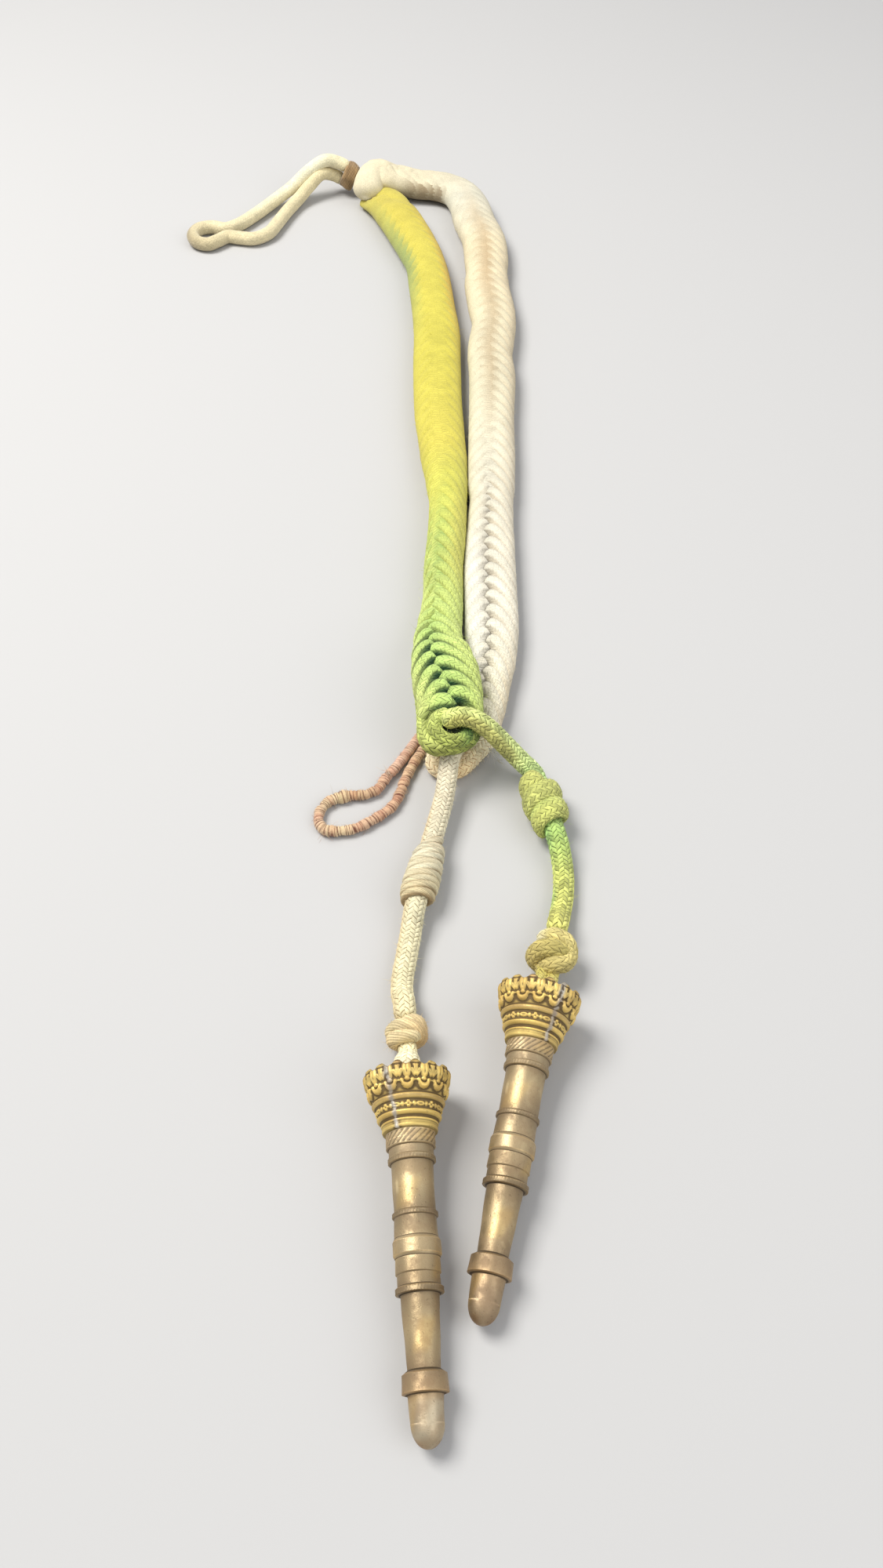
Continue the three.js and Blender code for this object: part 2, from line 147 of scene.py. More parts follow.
def lengthAlong(route):
    # from the first point of a route to each
    steps = np.linalg.norm(np.diff(route, axis=-2), axis=-1)
    return np.concatenate([0 * steps[..., :1], np.cumsum(steps, -1)], -1)


def frameOf(axis):
    # side is level and square to the axis, up is square to both
    side = unit(np.cross(axis, (0, 0, 1)))
    return side, np.cross(side, axis)


def turnedAbout(foot, axis, s, r, angle):
    # the spot s along the axis from its foot and r out from it
    side, up = frameOf(axis)
    spot = foot + axis * s[..., None] + side * (r * np.cos(angle))[..., None]
    return spot + up * (r * np.sin(angle))[..., None]


def splineThrough(points, fine=40):
    # Centripetal spline: on each span a cubic whose end slopes weigh the chords by their roots
    p = np.asarray(points, float)
    q = np.vstack([2 * p[:1] - p[1:2], p, 2 * p[-1:] - p[-2:-1]])
    gap = np.sqrt(np.linalg.norm(np.diff(q[:, :3], axis=0), axis=1))[:, None]
    a, b, c = gap[:-2], gap[1:-1], gap[2:]
    p0, p1, p2, p3 = q[:-3], q[1:-2], q[2:-1], q[3:]
    out = ((p1 - p0) / a - (p2 - p0) / (a + b) + (p2 - p1) / b) * b
    into = ((p2 - p1) / b - (p3 - p1) / (b + c) + (p3 - p2) / c) * b
    t = np.linspace(0, 1, fine, endpoint=False)[None, :, None]
    p1, p2, out, into = (x[:, None, :] for x in (p1, p2, out, into))
    bend = (2 * t**3 - 3 * t**2 + 1) * p1 + (t**3 - 2 * t**2 + t) * out
    bend = bend + (3 * t**2 - 2 * t**3) * p2 + (t**3 - t**2) * into
    return np.vstack([bend.reshape(-1, p.shape[1]), p[-1:]])


def evenRoute(points, step):
    # The same spline, walked in even steps of its own length
    curve = splineThrough(points)
    walked = lengthAlong(curve)
    places = np.linspace(0, walked[-1], max(int(round(walked[-1] / step)), 4) + 1)
    return rowsAt(places, walked, curve), places


def carriedProfile(route, side, up, wide, high, around):
    # P(i, a) = route(i) + side(i) wide(i, a) cos a + up(i) high(i, a) sin a; wide and high hold one
    # value a ring, or one a point
    a = np.linspace(0, 2 * np.pi, around, endpoint=False)
    wide, high = (wide * np.cos(a))[..., None], (high * np.sin(a))[..., None]
    return route[..., None, :] + side[..., None, :] * wide + up[..., None, :] * high


def sideOf(route, up):
    # side is square to the way along and to the wished up; up is then squared to both
    along = unit(np.gradient(route, axis=-2))
    side = unit(np.cross(along, np.broadcast_to(up, route.shape)))
    return side, np.cross(side, along)


def roundEnds(places, radius):
    # 0 at both ends and 1 inside, along a quarter circle of that radius
    inside = np.clip(np.minimum(places, places[..., -1:] - places) / radius, 0, 1)
    return np.sqrt(np.clip(1 - (1 - inside) ** 2, 0, 1))


def braidRelief(share, length, columns, stitch, slant):
    # Columns of stitches round the cord, each a rounded slanted bump, mirrored from column to column:
    # (0.5 + 0.5 cos(pi f)^0.5) sin(pi q)^0.5, f across the column and q along the stitch
    column = share * columns
    odd = np.floor(column) % 2
    f = column - np.floor(column) - 0.5
    q = length / stitch + (1 - 2 * odd) * slant * f + 0.5 * odd
    return (0.5 + 0.5 * np.cos(np.pi * f) ** 0.5) * np.sin(np.pi * (q - np.floor(q))) ** 0.5


def tubeFaces(lay, around, base):
    # The faces of closed tubes with a pole at each end: quads, then the fans at head and foot, each
    # with its corner map, where x is the share of the way round and y the length along in mm
    strands, rings = lay.shape
    first = base + np.arange(strands)[:, None, None] * (rings * around + 2)
    r = np.arange(rings - 1)[None, :, None] * around
    k = np.arange(around)[None, None, :]
    n = (k + 1) % around
    quad = np.stack([first + r + k, first + r + around + k, first + r + around + n, first + r + n], -1)
    left = np.broadcast_to(k / around, quad.shape[:3])
    right = left + 1 / around
    near = np.broadcast_to(lay[:, :-1, None], quad.shape[:3])
    far = np.broadcast_to(lay[:, 1:, None], quad.shape[:3])
    quadMap = np.stack([left, near, left, far, right, far, right, near], -1)
    k, n, first, left, right = k[:, 0], n[:, 0], first[:, 0], left[:, 0], right[:, 0]
    pole = np.broadcast_to(first + rings * around, (strands, around))
    last = first + (rings - 1) * around
    headFan = np.stack([pole, first + k, first + n], -1)
    tailFan = np.stack([pole + 1, last + n, last + k], -1)
    mid = (left + right) / 2
    low = np.broadcast_to(lay[:, :1], left.shape)
    high = np.broadcast_to(lay[:, -1:], left.shape)
    headMap = np.stack([mid, low, left, low, right, low], -1)
    tailMap = np.stack([mid, high, right, high, left, high], -1)
    return (quad, quadMap, 4), (headFan, headMap, 3), (tailFan, tailMap, 3)


def meshOf(name, batches):
    # Each batch holds points (strands, rings, around, 3) and lay (strands, rings)
    spots, tints, extras, corners, starts, maps = [], [], [], [], [], []
    base, loops = 0, 0
    for batch in batches:
        p = batch["points"]
        strands, rings, around = p.shape[:3]
        tint = np.broadcast_to(batch["tint"], p.shape[:3] + (4,))
        worn = np.broadcast_to(batch.get("extra", 0.0), p.shape[:3])[..., None]
        poles = (p[:, [0, -1]].mean(2), tint[:, [0, -1], 0], worn[:, [0, -1], 0])
        for rows, value, ends in zip((spots, tints, extras), (p, tint, worn), poles):
            size = value.shape[-1]
            rows.append(np.concatenate([value.reshape(strands, -1, size), ends], 1).reshape(-1, size))
        for faces, uv, size in tubeFaces(batch["lay"], around, base):
            corners.append(faces.reshape(-1))
            maps.append(uv.reshape(-1, 2))
            starts.append(loops + np.arange(faces.size // size) * size)
            loops += faces.size
        base += strands * (rings * around + 2)
    points, corners, starts = (np.concatenate(x) for x in (spots, corners, starts))
    mesh = bpy.data.meshes.new(name)
    mesh.vertices.add(len(points))
    mesh.vertices.foreach_set("co", ((points + layoutShift) * mm).astype(np.float32).ravel())
    mesh.loops.add(len(corners))
    mesh.loops.foreach_set("vertex_index", corners.astype(np.int32))
    mesh.polygons.add(len(starts))
    mesh.polygons.foreach_set("loop_start", starts.astype(np.int32))
    mesh.update(calc_edges=True)
    lie = mesh.uv_layers.new(name="lie")
    lie.data.foreach_set("uv", np.concatenate(maps).astype(np.float32).ravel())
    dye = mesh.color_attributes.new(name="dye", type="FLOAT_COLOR", domain="POINT")
    dye.data.foreach_set("color", np.concatenate(tints).astype(np.float32).ravel())
    worn = mesh.attributes.new(name="worn", type="FLOAT", domain="POINT")
    worn.data.foreach_set("value", np.concatenate(extras).astype(np.float32).ravel())
    mesh.polygons.foreach_set("use_smooth", np.ones(len(starts), bool))
    mesh.validate()
    return mesh


def addPiece(name, batches, material, slotName, *nodes):
    mesh = meshOf(name, batches)
    piece = bpy.data.objects.new(name, mesh)
    bpy.context.collection.objects.link(piece)
    mesh.materials.append(material)
    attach(piece, "root")
    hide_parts(*nodes)
    print(name, len(mesh.polygons), "faces")
    return piece


def linear(r, g, b):
    # A colour as it is read off a screen, 0 to 255, as light
    c = np.array([r, g, b]) / 255
    return np.where(c < 0.04045, c / 12.92, ((c + 0.055) / 1.055) ** 2.4)


def colorAlong(stops, place):
    # stops are (place, (r, g, b)); colours run evenly from one to the next
    return rowsAt(place, [stop[0] for stop in stops], [linear(*stop[1]) for stop in stops])


def stained(color, *stains):
    # lays each stain (mask, shade) over the colour in its turn
    for mask, shade in stains:
        color = color + (linear(*shade) - color) * mask[..., None]
    return color


def dyeOf(stops, *stains):
    # a dye by the way along a cord and round it; each stain is (mask of both, shade)
    def dye(s, angle):
        return stained(colorAlong(stops, s), *[(mask(s, angle), shade) for mask, shade in stains])

    return dye


def withAlpha(color):
    return np.concatenate([color, np.ones(color.shape[:-1] + (1,))], -1)


def tube(points, lay, color, worn=0.0):
    # one strand; worn says how far it is felted over, and on brass how far a spot stands out, which
    # the brass shows as rubbing with a painted highlight, and in the hollows as patina with painted shade
    return {"points": points[None], "lay": lay[None], "tint": withAlpha(color)[None], "extra": worn}


def fibres(root, away, bend, length, rings, thick, taper, tint):
    # fibres with three sides, P(t) = root + L (t away + t^2 bend), thinner towards the end
    t = np.linspace(0, 1, rings)[None, :, None]
    path = root[:, None, :] + length * (t * away[:, None, :] + t**2 * bend[:, None, :])
    path = aboveGround(path, thick)
    side, up = sideOf(path, np.roll(unit(bend), 1, -1)[:, None, :])
    size = thick * (1 - taper * t) * np.ones((len(root), 1, 1))
    return {"points": carriedProfile(path, side, up, size, size, 3), "lay": t[..., 0] * length[..., 0],
            "tint": np.minimum(tint, 1)[:, None, None, :], "extra": 1.0}


def fuzzOn(batch, count, long, seed, chance=None):
    # loose fibres off random spots of a batch; chance weighs the spots ring by ring
    rng = np.random.default_rng(seed)
    p = batch["points"]
    strands, rings, around = p.shape[:3]
    weight = np.ones((strands, rings)) if chance is None else chance.astype(float)
    spot = rng.choice(strands * rings, count, p=(weight / weight.sum()).ravel())
    i, j = spot // rings, spot % rings
    k = rng.integers(0, around, count)
    root = p[i, j, k]
    out = unit(root - p[i, j].mean(1))
    away = unit(out + rng.normal(0, 0.55, (count, 3)))
    bend = np.clip(rng.normal(0, 0.6, (count, 3)), -0.7, 0.7)
    length = long * np.minimum(rng.lognormal(-0.25, 0.5, count), 1.4)[:, None, None]
    tint = np.broadcast_to(batch["tint"], p.shape[:3] + (4,))[i, j, k] * np.array([1.15, 1.15, 1.15, 1])
    return fibres(root, away, bend, length, 3, 0.035, 0.75, tint)


def tuft(root, away, count, long, spread, shade, seed, thick=0.05):
    # a frayed end: fibres that leave one spot
    rng = np.random.default_rng(seed)
    away = unit(np.array(away, float) + rng.normal(0, spread, (count, 3)))
    bend = rng.normal(0, 0.35, (count, 3))
    start = np.array(root, float) + rng.normal(0, 0.25, (count, 3))
    length = long * rng.uniform(0.4, 1.0, count)[:, None, None]
    tint = withAlpha(linear(*shade) * rng.uniform(0.8, 1.2, (count, 1)))
    return fibres(start, away, bend, length, 5, thick, 0.7, tint)


# Shader groups
def newGroup(name, given, made):
    # given: the inputs and their first values, None for a vector; made: the outputs, all numbers
    group = bpy.data.node_groups.new(name, "ShaderNodeTree")
    for label, value in given.items():
        kind = "NodeSocketVector" if value is None else "NodeSocketFloat"
        socket = group.interface.new_socket(name=label, in_out="INPUT", socket_type=kind)
        if value is not None:
            socket.default_value = value
    for label in made:
        group.interface.new_socket(name=label, in_out="OUTPUT", socket_type="NodeSocketFloat")
    return group


class Wiring:
    # short ways to add nodes to one tree and join them
    def __init__(self, tree):
        self.tree = tree

    def node(self, kind, **settings):
        made = self.tree.nodes.new(kind)
        for key, value in settings.items():
            setattr(made, key, value)
        return made

    def join(self, value, socket):
        if isinstance(value, bpy.types.NodeSocket):
            self.tree.links.new(value, socket)
        else:
            socket.default_value = value

    def joinAll(self, sockets, **values):
        for key, value in values.items():
            self.join(value, sockets[key.replace("_", " ")])

    def math(self, operation, *values, clamp=False):
        made = self.node("ShaderNodeMath", operation=operation, use_clamp=clamp)
        for value, socket in zip(values, made.inputs):
            self.join(value, socket)
        return made.outputs[0]

    def times(self, a, b):
        return self.math("MULTIPLY", a, b)

    def mix(self, factor, a, b, blend="MIX"):
        made = self.node("ShaderNodeMix", data_type="RGBA", blend_type=blend)
        self.join(factor, made.inputs["Factor"])
        self.join(a, made.inputs[6])
        self.join(b, made.inputs[7])
        return made.outputs[2]

    def tinted(self, a, b):
        return self.mix(1.0, a, b, "MULTIPLY")

    def range(self, value, low, high, toLow=0.0, toHigh=1.0, smooth=True):
        made = self.node("ShaderNodeMapRange", interpolation_type="SMOOTHSTEP" if smooth else "LINEAR")
        self.joinAll(made.inputs, Value=value, From_Min=low, From_Max=high, To_Min=toLow, To_Max=toHigh)
        return made.outputs[0]

    def noise(self, vector, scale, detail, rough):
        made = self.node("ShaderNodeTexNoise")
        self.joinAll(made.inputs, Vector=vector, Scale=scale, Detail=detail, Roughness=rough)
        return made.outputs["Fac"]

    def placed(self, group, **given):
        made = self.node("ShaderNodeGroup", node_tree=group)
        self.joinAll(made.inputs, **given)
        return made.outputs

    def finish(self, **values):
        self.joinAll(self.node("NodeGroupOutput").inputs, **values)

    def bump(self, skin, strength, distance, height):
        made = self.node("ShaderNodeBump")
        self.joinAll(made.inputs, Strength=strength, Distance=distance, Height=height)
        self.join(made.outputs[0], skin.inputs["Normal"])


def makeBraidWeave():
    # The stitches of braidRelief as a shader: height, the dark of the gaps, the three yarns that lie
    # side by side in a stitch, and a number for each stitch
    group = newGroup("braidWeave", {"Lie": None, "Columns": 12.0, "Stitch": 1.8, "Slant": 0.55},
                     ("Height", "Gap", "Yarn", "Stitch Tone"))
    w = Wiring(group)
    given = w.node("NodeGroupInput").outputs
    parts = w.node("ShaderNodeSeparateXYZ")
    w.join(given["Lie"], parts.inputs[0])
    column = w.times(parts.outputs[0], given["Columns"])
    whole = w.math("FLOOR", column)
    odd = w.math("FLOORED_MODULO", whole, 2.0)
    f = w.math("SUBTRACT", w.math("SUBTRACT", column, whole), 0.5)
    lean = w.times(w.times(f, given["Slant"]), w.math("MULTIPLY_ADD", odd, -2.0, 1.0))
    q = w.math("ADD", w.math("DIVIDE", parts.outputs[1], given["Stitch"]), lean)
    q = w.math("MULTIPLY_ADD", odd, 0.5, q)
    row = w.math("FLOOR", q)
    across = w.math("COSINE", w.times(f, math.pi))
    along = w.math("SINE", w.times(w.math("SUBTRACT", q, row), math.pi))
    across = w.math("POWER", w.math("MAXIMUM", across, 0.0), 0.5)
    along = w.math("POWER", w.math("MAXIMUM", along, 0.0), 0.5)
    height = w.times(w.math("MULTIPLY_ADD", across, 0.5, 0.5), along)
    gap = w.math("MAXIMUM", w.range(along, 0.2, 0.66, 1.0, 0.0), w.range(across, 0.15, 0.5, 0.32, 0.0))
    yarn = w.math("ABSOLUTE", w.math("SINE", w.times(q, 3 * math.pi)))
    cell = w.node("ShaderNodeCombineXYZ")
    w.joinAll(cell.inputs, X=whole, Y=row)
    tone = w.node("ShaderNodeTexWhiteNoise", noise_dimensions="2D")
    w.join(cell.outputs[0], tone.inputs["Vector"])
    w.finish(Height=height, Gap=gap, Yarn=yarn, Stitch_Tone=tone.outputs["Value"])
    return group


def makeYarnFibre():
    # Fine fibres, slow mottling and patches from three noises on Object coordinates
    group = newGroup("yarnFibre", {"Place": None, "Fibre Scale": 4000.0, "Mottle Scale": 160.0},
                     ("Fibre", "Mottle", "Patch"))
    w = Wiring(group)
    given = w.node("NodeGroupInput").outputs
    w.finish(Fibre=w.noise(given["Place"], given["Fibre Scale"], 3.0, 0.7),
             Mottle=w.noise(given["Place"], given["Mottle Scale"], 4.0, 0.6),
             Patch=w.noise(given["Place"], w.times(given["Mottle Scale"], 4.0), 1.0, 0.5))
    return group


braidWeave = makeBraidWeave()
yarnFibre = makeYarnFibre()


def newMaterial(name):
    # a material with its wiring, its shader node and what the shaders read: place, dye and wear
    material = bpy.data.materials.new(name)
    material.use_nodes = True
    w = Wiring(material.node_tree)
    skin = material.node_tree.nodes["Principled BSDF"]
    place = w.node("ShaderNodeTexCoord").outputs["Object"]
    dye = w.node("ShaderNodeAttribute", attribute_name="dye").outputs["Color"]
    worn = w.node("ShaderNodeAttribute", attribute_name="worn").outputs["Fac"]
    return material, w, skin, place, dye, worn


def clothMaterial(name, columns, stitch, slant, relief, gapDark, toneSpread, sheen):
    # dyed yarn: the dye attribute, darker in the gaps by a painted shade, a little different from stitch
    # to stitch; the worn attribute says how far the yarn is felted over, 1 hides the stitches
    material, w, skin, place, dye, felted = newMaterial(name)
    lie = w.node("ShaderNodeUVMap", uv_map="lie").outputs[0]
    weave = w.placed(braidWeave, Lie=lie, Columns=columns, Stitch=stitch, Slant=slant)
    fibre = w.placed(yarnFibre, Place=place, Fibre_Scale=2600.0, Mottle_Scale=170.0)
    clear = w.math("SUBTRACT", 1.0, felted, clamp=True)
    gapShade = w.times(w.times(weave["Gap"], clear), w.range(fibre["Patch"], 0.36, 0.6, 0.25, 1.0))
    tone = w.range(weave["Stitch Tone"], 0.0, 1.0, -toneSpread, toneSpread, smooth=False)
    tone = w.math("MULTIPLY_ADD", tone, clear, 1.0)
    tone = w.times(tone, w.range(fibre["Fibre"], 0.25, 0.75, 0.84, 1.12))
    tone = w.times(tone, w.range(weave["Yarn"], 0.0, 0.7, 0.88, 1.0))
    tone = w.times(tone, w.range(fibre["Mottle"], 0.3, 0.7, 0.92, 1.06))
    # painted shade in the gaps: light goes from yarn to yarn there, which deepens the dye to its fifth power
    squared = w.tinted(dye, dye)
    deep = w.tinted(w.tinted(w.tinted(squared, squared), dye), (0.8, 0.68, 0.62, 1))
    shade = w.node("ShaderNodeVectorMath", operation="SCALE")
    w.join(w.mix(w.times(gapShade, gapDark), dye, deep), shade.inputs[0])
    w.join(tone, shade.inputs["Scale"])
    rough = w.range(weave["Height"], 0.0, 1.0, 0.98, 0.78)
    w.joinAll(skin.inputs, Base_Color=shade.outputs[0], Roughness=rough, Sheen_Weight=sheen,
              Sheen_Roughness=0.5, Specular_IOR_Level=0.25)
    height = w.times(w.math("MULTIPLY_ADD", weave["Yarn"], 0.14, weave["Height"]), clear)
    w.bump(skin, 0.9, relief * mm, w.math("MULTIPLY_ADD", fibre["Fibre"], 0.3, height))
    return material


# Columns of stitches round the cord, mm from stitch to stitch, slant, relief in mm, how dark the
# painted shade in the gaps is, spread of tone, sheen
yarns = {
    "plaitedYarn": (16.0, 1.15, 0.65, 0.3, 0.8, 0.16, 0.1),
    "cordYarn": (12.0, 1.2, 0.62, 0.18, 0.95, 0.15, 0.1),
    "looseYarn": (12.0, 1.2, 0.62, 0.28, 1.0, 0.34, 0.1),
    "bandYarn": (16.0, 1.1, 0.6, 0.2, 0.85, 0.24, 0.1),
    "twistYarn": (2.0, 0.9, 8.0, 0.12, 0.6, 0.2, 0.1),
    "fineYarn": (6.0, 1.5, 0.6, 0.14, 0.8, 0.14, 0.1),
    "stopYarn": (14.0, 1.15, 0.65, 0.14, 0.8, 0.2, 0.1),
    "loopYarn": (16.0, 1.1, 0.55, 0.1, 0.22, 0.08, 0.25),
    "threadYarn": (3.0, 0.9, 0.55, 0.05, 0.1, 0.2, 0.3),
}
cloth = {name: clothMaterial(name, *values) for name, values in yarns.items()}

# The two plaited arms. Each row: middle of the section, lift, width, thickness, turn, bank
armRows = {
    "green": [
        (3.2, 202.2, 0, 9, 3.4, 0, 0),
        (6.6, 198.3, 0, 12.0, 4.0, 0, 0),
        (11.1, 191.3, 0, 14.0, 7.2, 0, 0),
        (15.6, 181.5, 0, 15.8, 8.6, 0, 0),
        (20.0, 168.8, 0, 15.6, 8.6, 0, 0),
        (23.4, 157.8, 0, 15.0, 8.6, 0, 0),
        (26.2, 146.6, 0, 14.0, 8.6, 0, 0),
        (27.6, 134.0, 0, 14.4, 8.6, 0, 0),
        (28.8, 120.0, 0, 14.4, 8.6, 0, 0),
        (30.0, 104.0, 0, 15.0, 8.6, 0, 0),
        (30.1, 86.0, 0, 15.0, 8.6, 0, 0),
        (30.6, 62.0, 0, 14.6, 8.6, 4, 0),
        (32.0, 41.0, 0, 13.6, 8.8, 18, 0),
        (33.0, 26.3, 0, 11.9, 10.0, 32, 0),
        (33.3, 17.0, 0, 10.5, 10.8, 42, 0),
        (32.9, 3.0, 0, 10.5, 11.0, 42, 0),
        (32.0, -10.0, 0, 10.4, 10.8, 36, 0),
        (31.9, -20.2, 0.2, 10.4, 10.4, 28, 0),
        (31.6, -26.1, 0.6, 10.8, 10.0, 24, 0),
        (31.0, -33.2, 2.2, 11.4, 9.2, 20, 3),
        (30.7, -42.2, 6.0, 12.2, 8.6, 20, 6),
        (31.6, -49.9, 8.5, 14.8, 8.4, 20, 5),
        (32.4, -55.6, 9.1, 16.2, 8.4, 14, 3),
        (33.0, -61.0, 9.3, 16.2, 8.4, 3, 0),
        (33.5, -65.7, 9.5, 15.4, 8.2, -3, 0),
        (33.4, -69.0, 9.6, 14.6, 7.8, -4, 0),
    ],
    "white": [
        (0.9, 207.5, 3.2, 9, 6.0, 0, 0),
        (4.0, 206.4, 4.6, 14.5, 7.4, 0, 0),
        (9.0, 206.2, 4.4, 16.0, 7.8, 0, 0),
        (15.5, 206.6, 1.8, 15.2, 8.2, 0, 0),
        (23.2, 206.2, 0, 14.6, 8.6, 0, 0),
        (31.4, 204.4, 0, 14.4, 8.6, 0, 0),
        (38.0, 199.0, 0, 14.2, 8.6, 0, 0),
        (41.6, 189.5, 0, 14.6, 8.6, 0, 0),
        (43.4, 177.5, 0, 15.2, 8.6, 4, 0),
        (46.4, 164.0, 0, 15.4, 8.6, 8, 0),
        (47.0, 151.8, 0, 15.2, 8.6, 8, 0),
        (46.9, 141.4, 0, 14.2, 8.6, 8, 0),
        (46.8, 133.7, 0, 15.0, 8.6, 8, 0),
        (48.0, 119.0, 0, 15.3, 8.6, 8, 0),
        (48.5, 109.5, 0, 14.3, 8.6, 8, 0),
        (47.3, 98.0, 0, 14.5, 8.6, 8, 0),
        (46.8, 91.3, 0, 14.2, 8.6, 8, 0),
        (47.2, 80.5, 0, 14.4, 8.6, 9, 0),
        (46.4, 58.0, 0, 13.6, 8.6, 10, 0),
        (46.0, 40.0, 0, 13.6, 8.6, 12, 0),
        (45.5, 26.3, 0, 13.4, 8.6, 14, 0),
        (45.4, 19.3, 0, 12.2, 8.6, 14, 0),
        (44.9, 10.0, 0, 12.6, 8.6, 14, 0),
        (44.5, 0.0, 0, 13.5, 8.6, 14, 0),
        (44.2, -13.0, 0, 13.9, 8.6, 13, 0),
        (44.2, -30.0, 0, 13.8, 8.4, 13, 0),
        (43.8, -40.0, 0, 12.8, 7.8, 12, 0),
        (42.2, -50.0, 0, 12.2, 7.4, 8, 0),
        (40.4, -58.5, 0, 12.6, 7.2, 0, 0),
        (38.7, -64.6, 0, 12.8, 6.8, 0, 0),
    ],
}

plaitLay = {
    "pitch": 5.2,  # mm from lobe to lobe on one side
    "lead": 9.6,  # how far a lobe runs on from the groove to the edge
    "strand": 2.2,  # half thickness of the cord
    "headDip": 0.8,  # how far a lobe's head bows down into the groove, where the lobes show
    "first": 4.0,  # mm from the sewn end to the first lobe
    "start": -14,  # degrees round the section where a lobe starts, just across the groove
    "sweep": 200,  # degrees that it runs on from there
    "shortened": 9,  # mm before the lower end within which the lobes run on less
    "fill": 0.26,  # the most of the arm's thickness that half a cord takes up
    "halfBreadth": (1.9, 3.1),  # least and most
    "rounding": 2.4,  # mm over which its ends are rounded off
    "fineFrom": 185,  # mm along the arm from which the lobes show and are made finer
    "coarse": (22, 12),  # rings along a lobe, points round it
    "fine": (46, 22),
}
# how tightly the lobes are pressed together, on the left and on the right of the groove:
# (mm along the arm, breadth over the free breadth)
armPacking = {
    ("green", -1): [(0, 1.5), (120, 1.45), (170, 1.4), (205, 1.35), (240, 1.25), (277, 1.15)],
    ("green", 1): [(0, 1.5), (120, 1.45), (170, 1.4), (205, 1.3), (240, 1.16), (277, 1.08)],
    ("white", -1): [(0, 1.6), (215, 1.55), (240, 1.5), (275, 1.4), (304, 1.3)],
    ("white", 1): [(0, 1.5), (160, 1.5), (206, 1.42), (240, 1.32), (275, 1.3), (304, 1.3)],
}
# how far the yarn is felted over, 1 where no stitch shows
armFelt = {
    "green": [(0, 0.9), (120, 0.93), (165, 0.86), (205, 0.66), (235, 0.42), (258, 0.18), (277, 0.0)],
    "white": [(0, 0.88), (160, 0.94), (206, 0.88), (240, 0.8), (275, 0.66), (304, 0.35)],
}


def sectionsOf(rows):
    # The arm's sections every half millimetre: route, across, then lift, width, thickness, turn, bank
    table = np.array(rows, float)
    fine = 40
    curve = splineThrough(np.c_[table[:, :2], np.zeros(len(table))], fine)
    mix = np.arange(len(curve)) / fine
    row = np.minimum(mix.astype(int), len(table) - 2)
    blend = smoothstep(0, 1, mix - row)[:, None]
    size = table[row, 2:] * (1 - blend) + table[row + 1, 2:] * blend
    walked = lengthAlong(curve)
    places = np.arange(0, walked[-1], 0.5)
    route = rowsAt(places, walked, curve)
    along = unit(np.gradient(route, axis=0))
    across = np.stack([-along[:, 1], along[:, 0], 0 * along[:, 0]], 1)
    return places, np.concatenate([route, across, rowsAt(places, walked, size)], 1)


upward = np.array([0, 0, 1.0])


def plaitStrands(kind, side, lay, fine):
    # phi runs from the groove (0) over the edge (90) to the middle of the underside (180);
    # the strand is near s = s0 + lead (1 - cos phi), a = A sin(side phi - turn), h = B cos(side phi - turn)
    places, table = sectionsOf(armRows[kind])
    length = places[-1]
    heads = np.arange(0.5 if side > 0 else 0.0, length / lay["pitch"] - 0.3) * lay["pitch"] + lay["first"]
    heads = heads[(heads < length - 1.5) & ((heads >= lay["fineFrom"]) == fine)]
    rings, around = lay["fine"] if fine else lay["coarse"]
    phi = np.radians(lay["start"] + lay["sweep"] * np.linspace(0, 1, rings) ** 1.25)[None, :]
    ends = np.clip((length - heads) / lay["shortened"], 0.15, 1)[:, None]
    run = 0.88 * (1 - np.cos(phi)) + 0.12 * np.where(phi < np.pi / 2, np.sin(phi), 1)
    s = np.clip(heads[:, None] + lay["lead"] * ends * run, 0.3, length - 0.3)
    at = rowsAt(s, places, table)
    middle, across, lift, wide, thick = at[..., :3], at[..., 3:6], at[..., 6], at[..., 7], at[..., 8]
    turn, bank = np.radians(at[..., 9]), np.radians(at[..., 10])
    half = np.minimum(lay["strand"], thick * lay["fill"])
    alpha = side * phi - turn
    innerWide, innerHigh = wide / 2 - half, thick / 2 - half
    dip = lay["headDip"] * (0.2 + 0.8 * smoothstep(150, 235, s)) * bell(phi, 0, np.radians(16))
    outA, outH = np.sin(alpha) * innerHigh, np.cos(alpha) * innerWide
    size = np.hypot(outA, outH)

    def banked(x, y):
        level = x * np.cos(bank) - y * np.sin(bank)
        raised = x * np.sin(bank) + y * np.cos(bank)
        return across * level[..., None] + upward * raised[..., None]

    path = middle + banked(innerWide * np.sin(alpha), innerHigh * np.cos(alpha) - dip)
    path[..., 2] += lift + thick / 2
    walked = lengthAlong(path)
    ds = np.gradient(s, axis=1) / np.maximum(np.gradient(walked, axis=1), 1e-6)
    spacing = lay["pitch"] * np.sqrt(np.clip(1 - ds**2, 0.05, 1))
    pressed = readOff(armPacking[kind, side], s)
    pit = 1 - np.clip(1.5 - pressed, 0, 0.5) * 0.4 * bell(phi, 0.12, 0.24)
    broad = np.clip(0.56 * spacing, *lay["halfBreadth"]) * (half / lay["strand"]) * pressed * pit
    tip = roundEnds(walked, lay["rounding"])
    beside, lifted = sideOf(path, banked(outA / size, outH / size))
    points = carriedProfile(path, beside, lifted, (broad * tip)[..., None], (half * tip)[..., None], around)
    # 1 where a strand meets its neighbour, 0 on its crest
    flank = np.abs(np.cos(np.linspace(0, 2 * np.pi, around, endpoint=False)))
    crevice = smoothstep(0.6, 1.02, flank * pressed[..., None] / 0.89)
    return aboveGround(points), walked, s[..., None], phi[..., None] + 0 * crevice, crevice


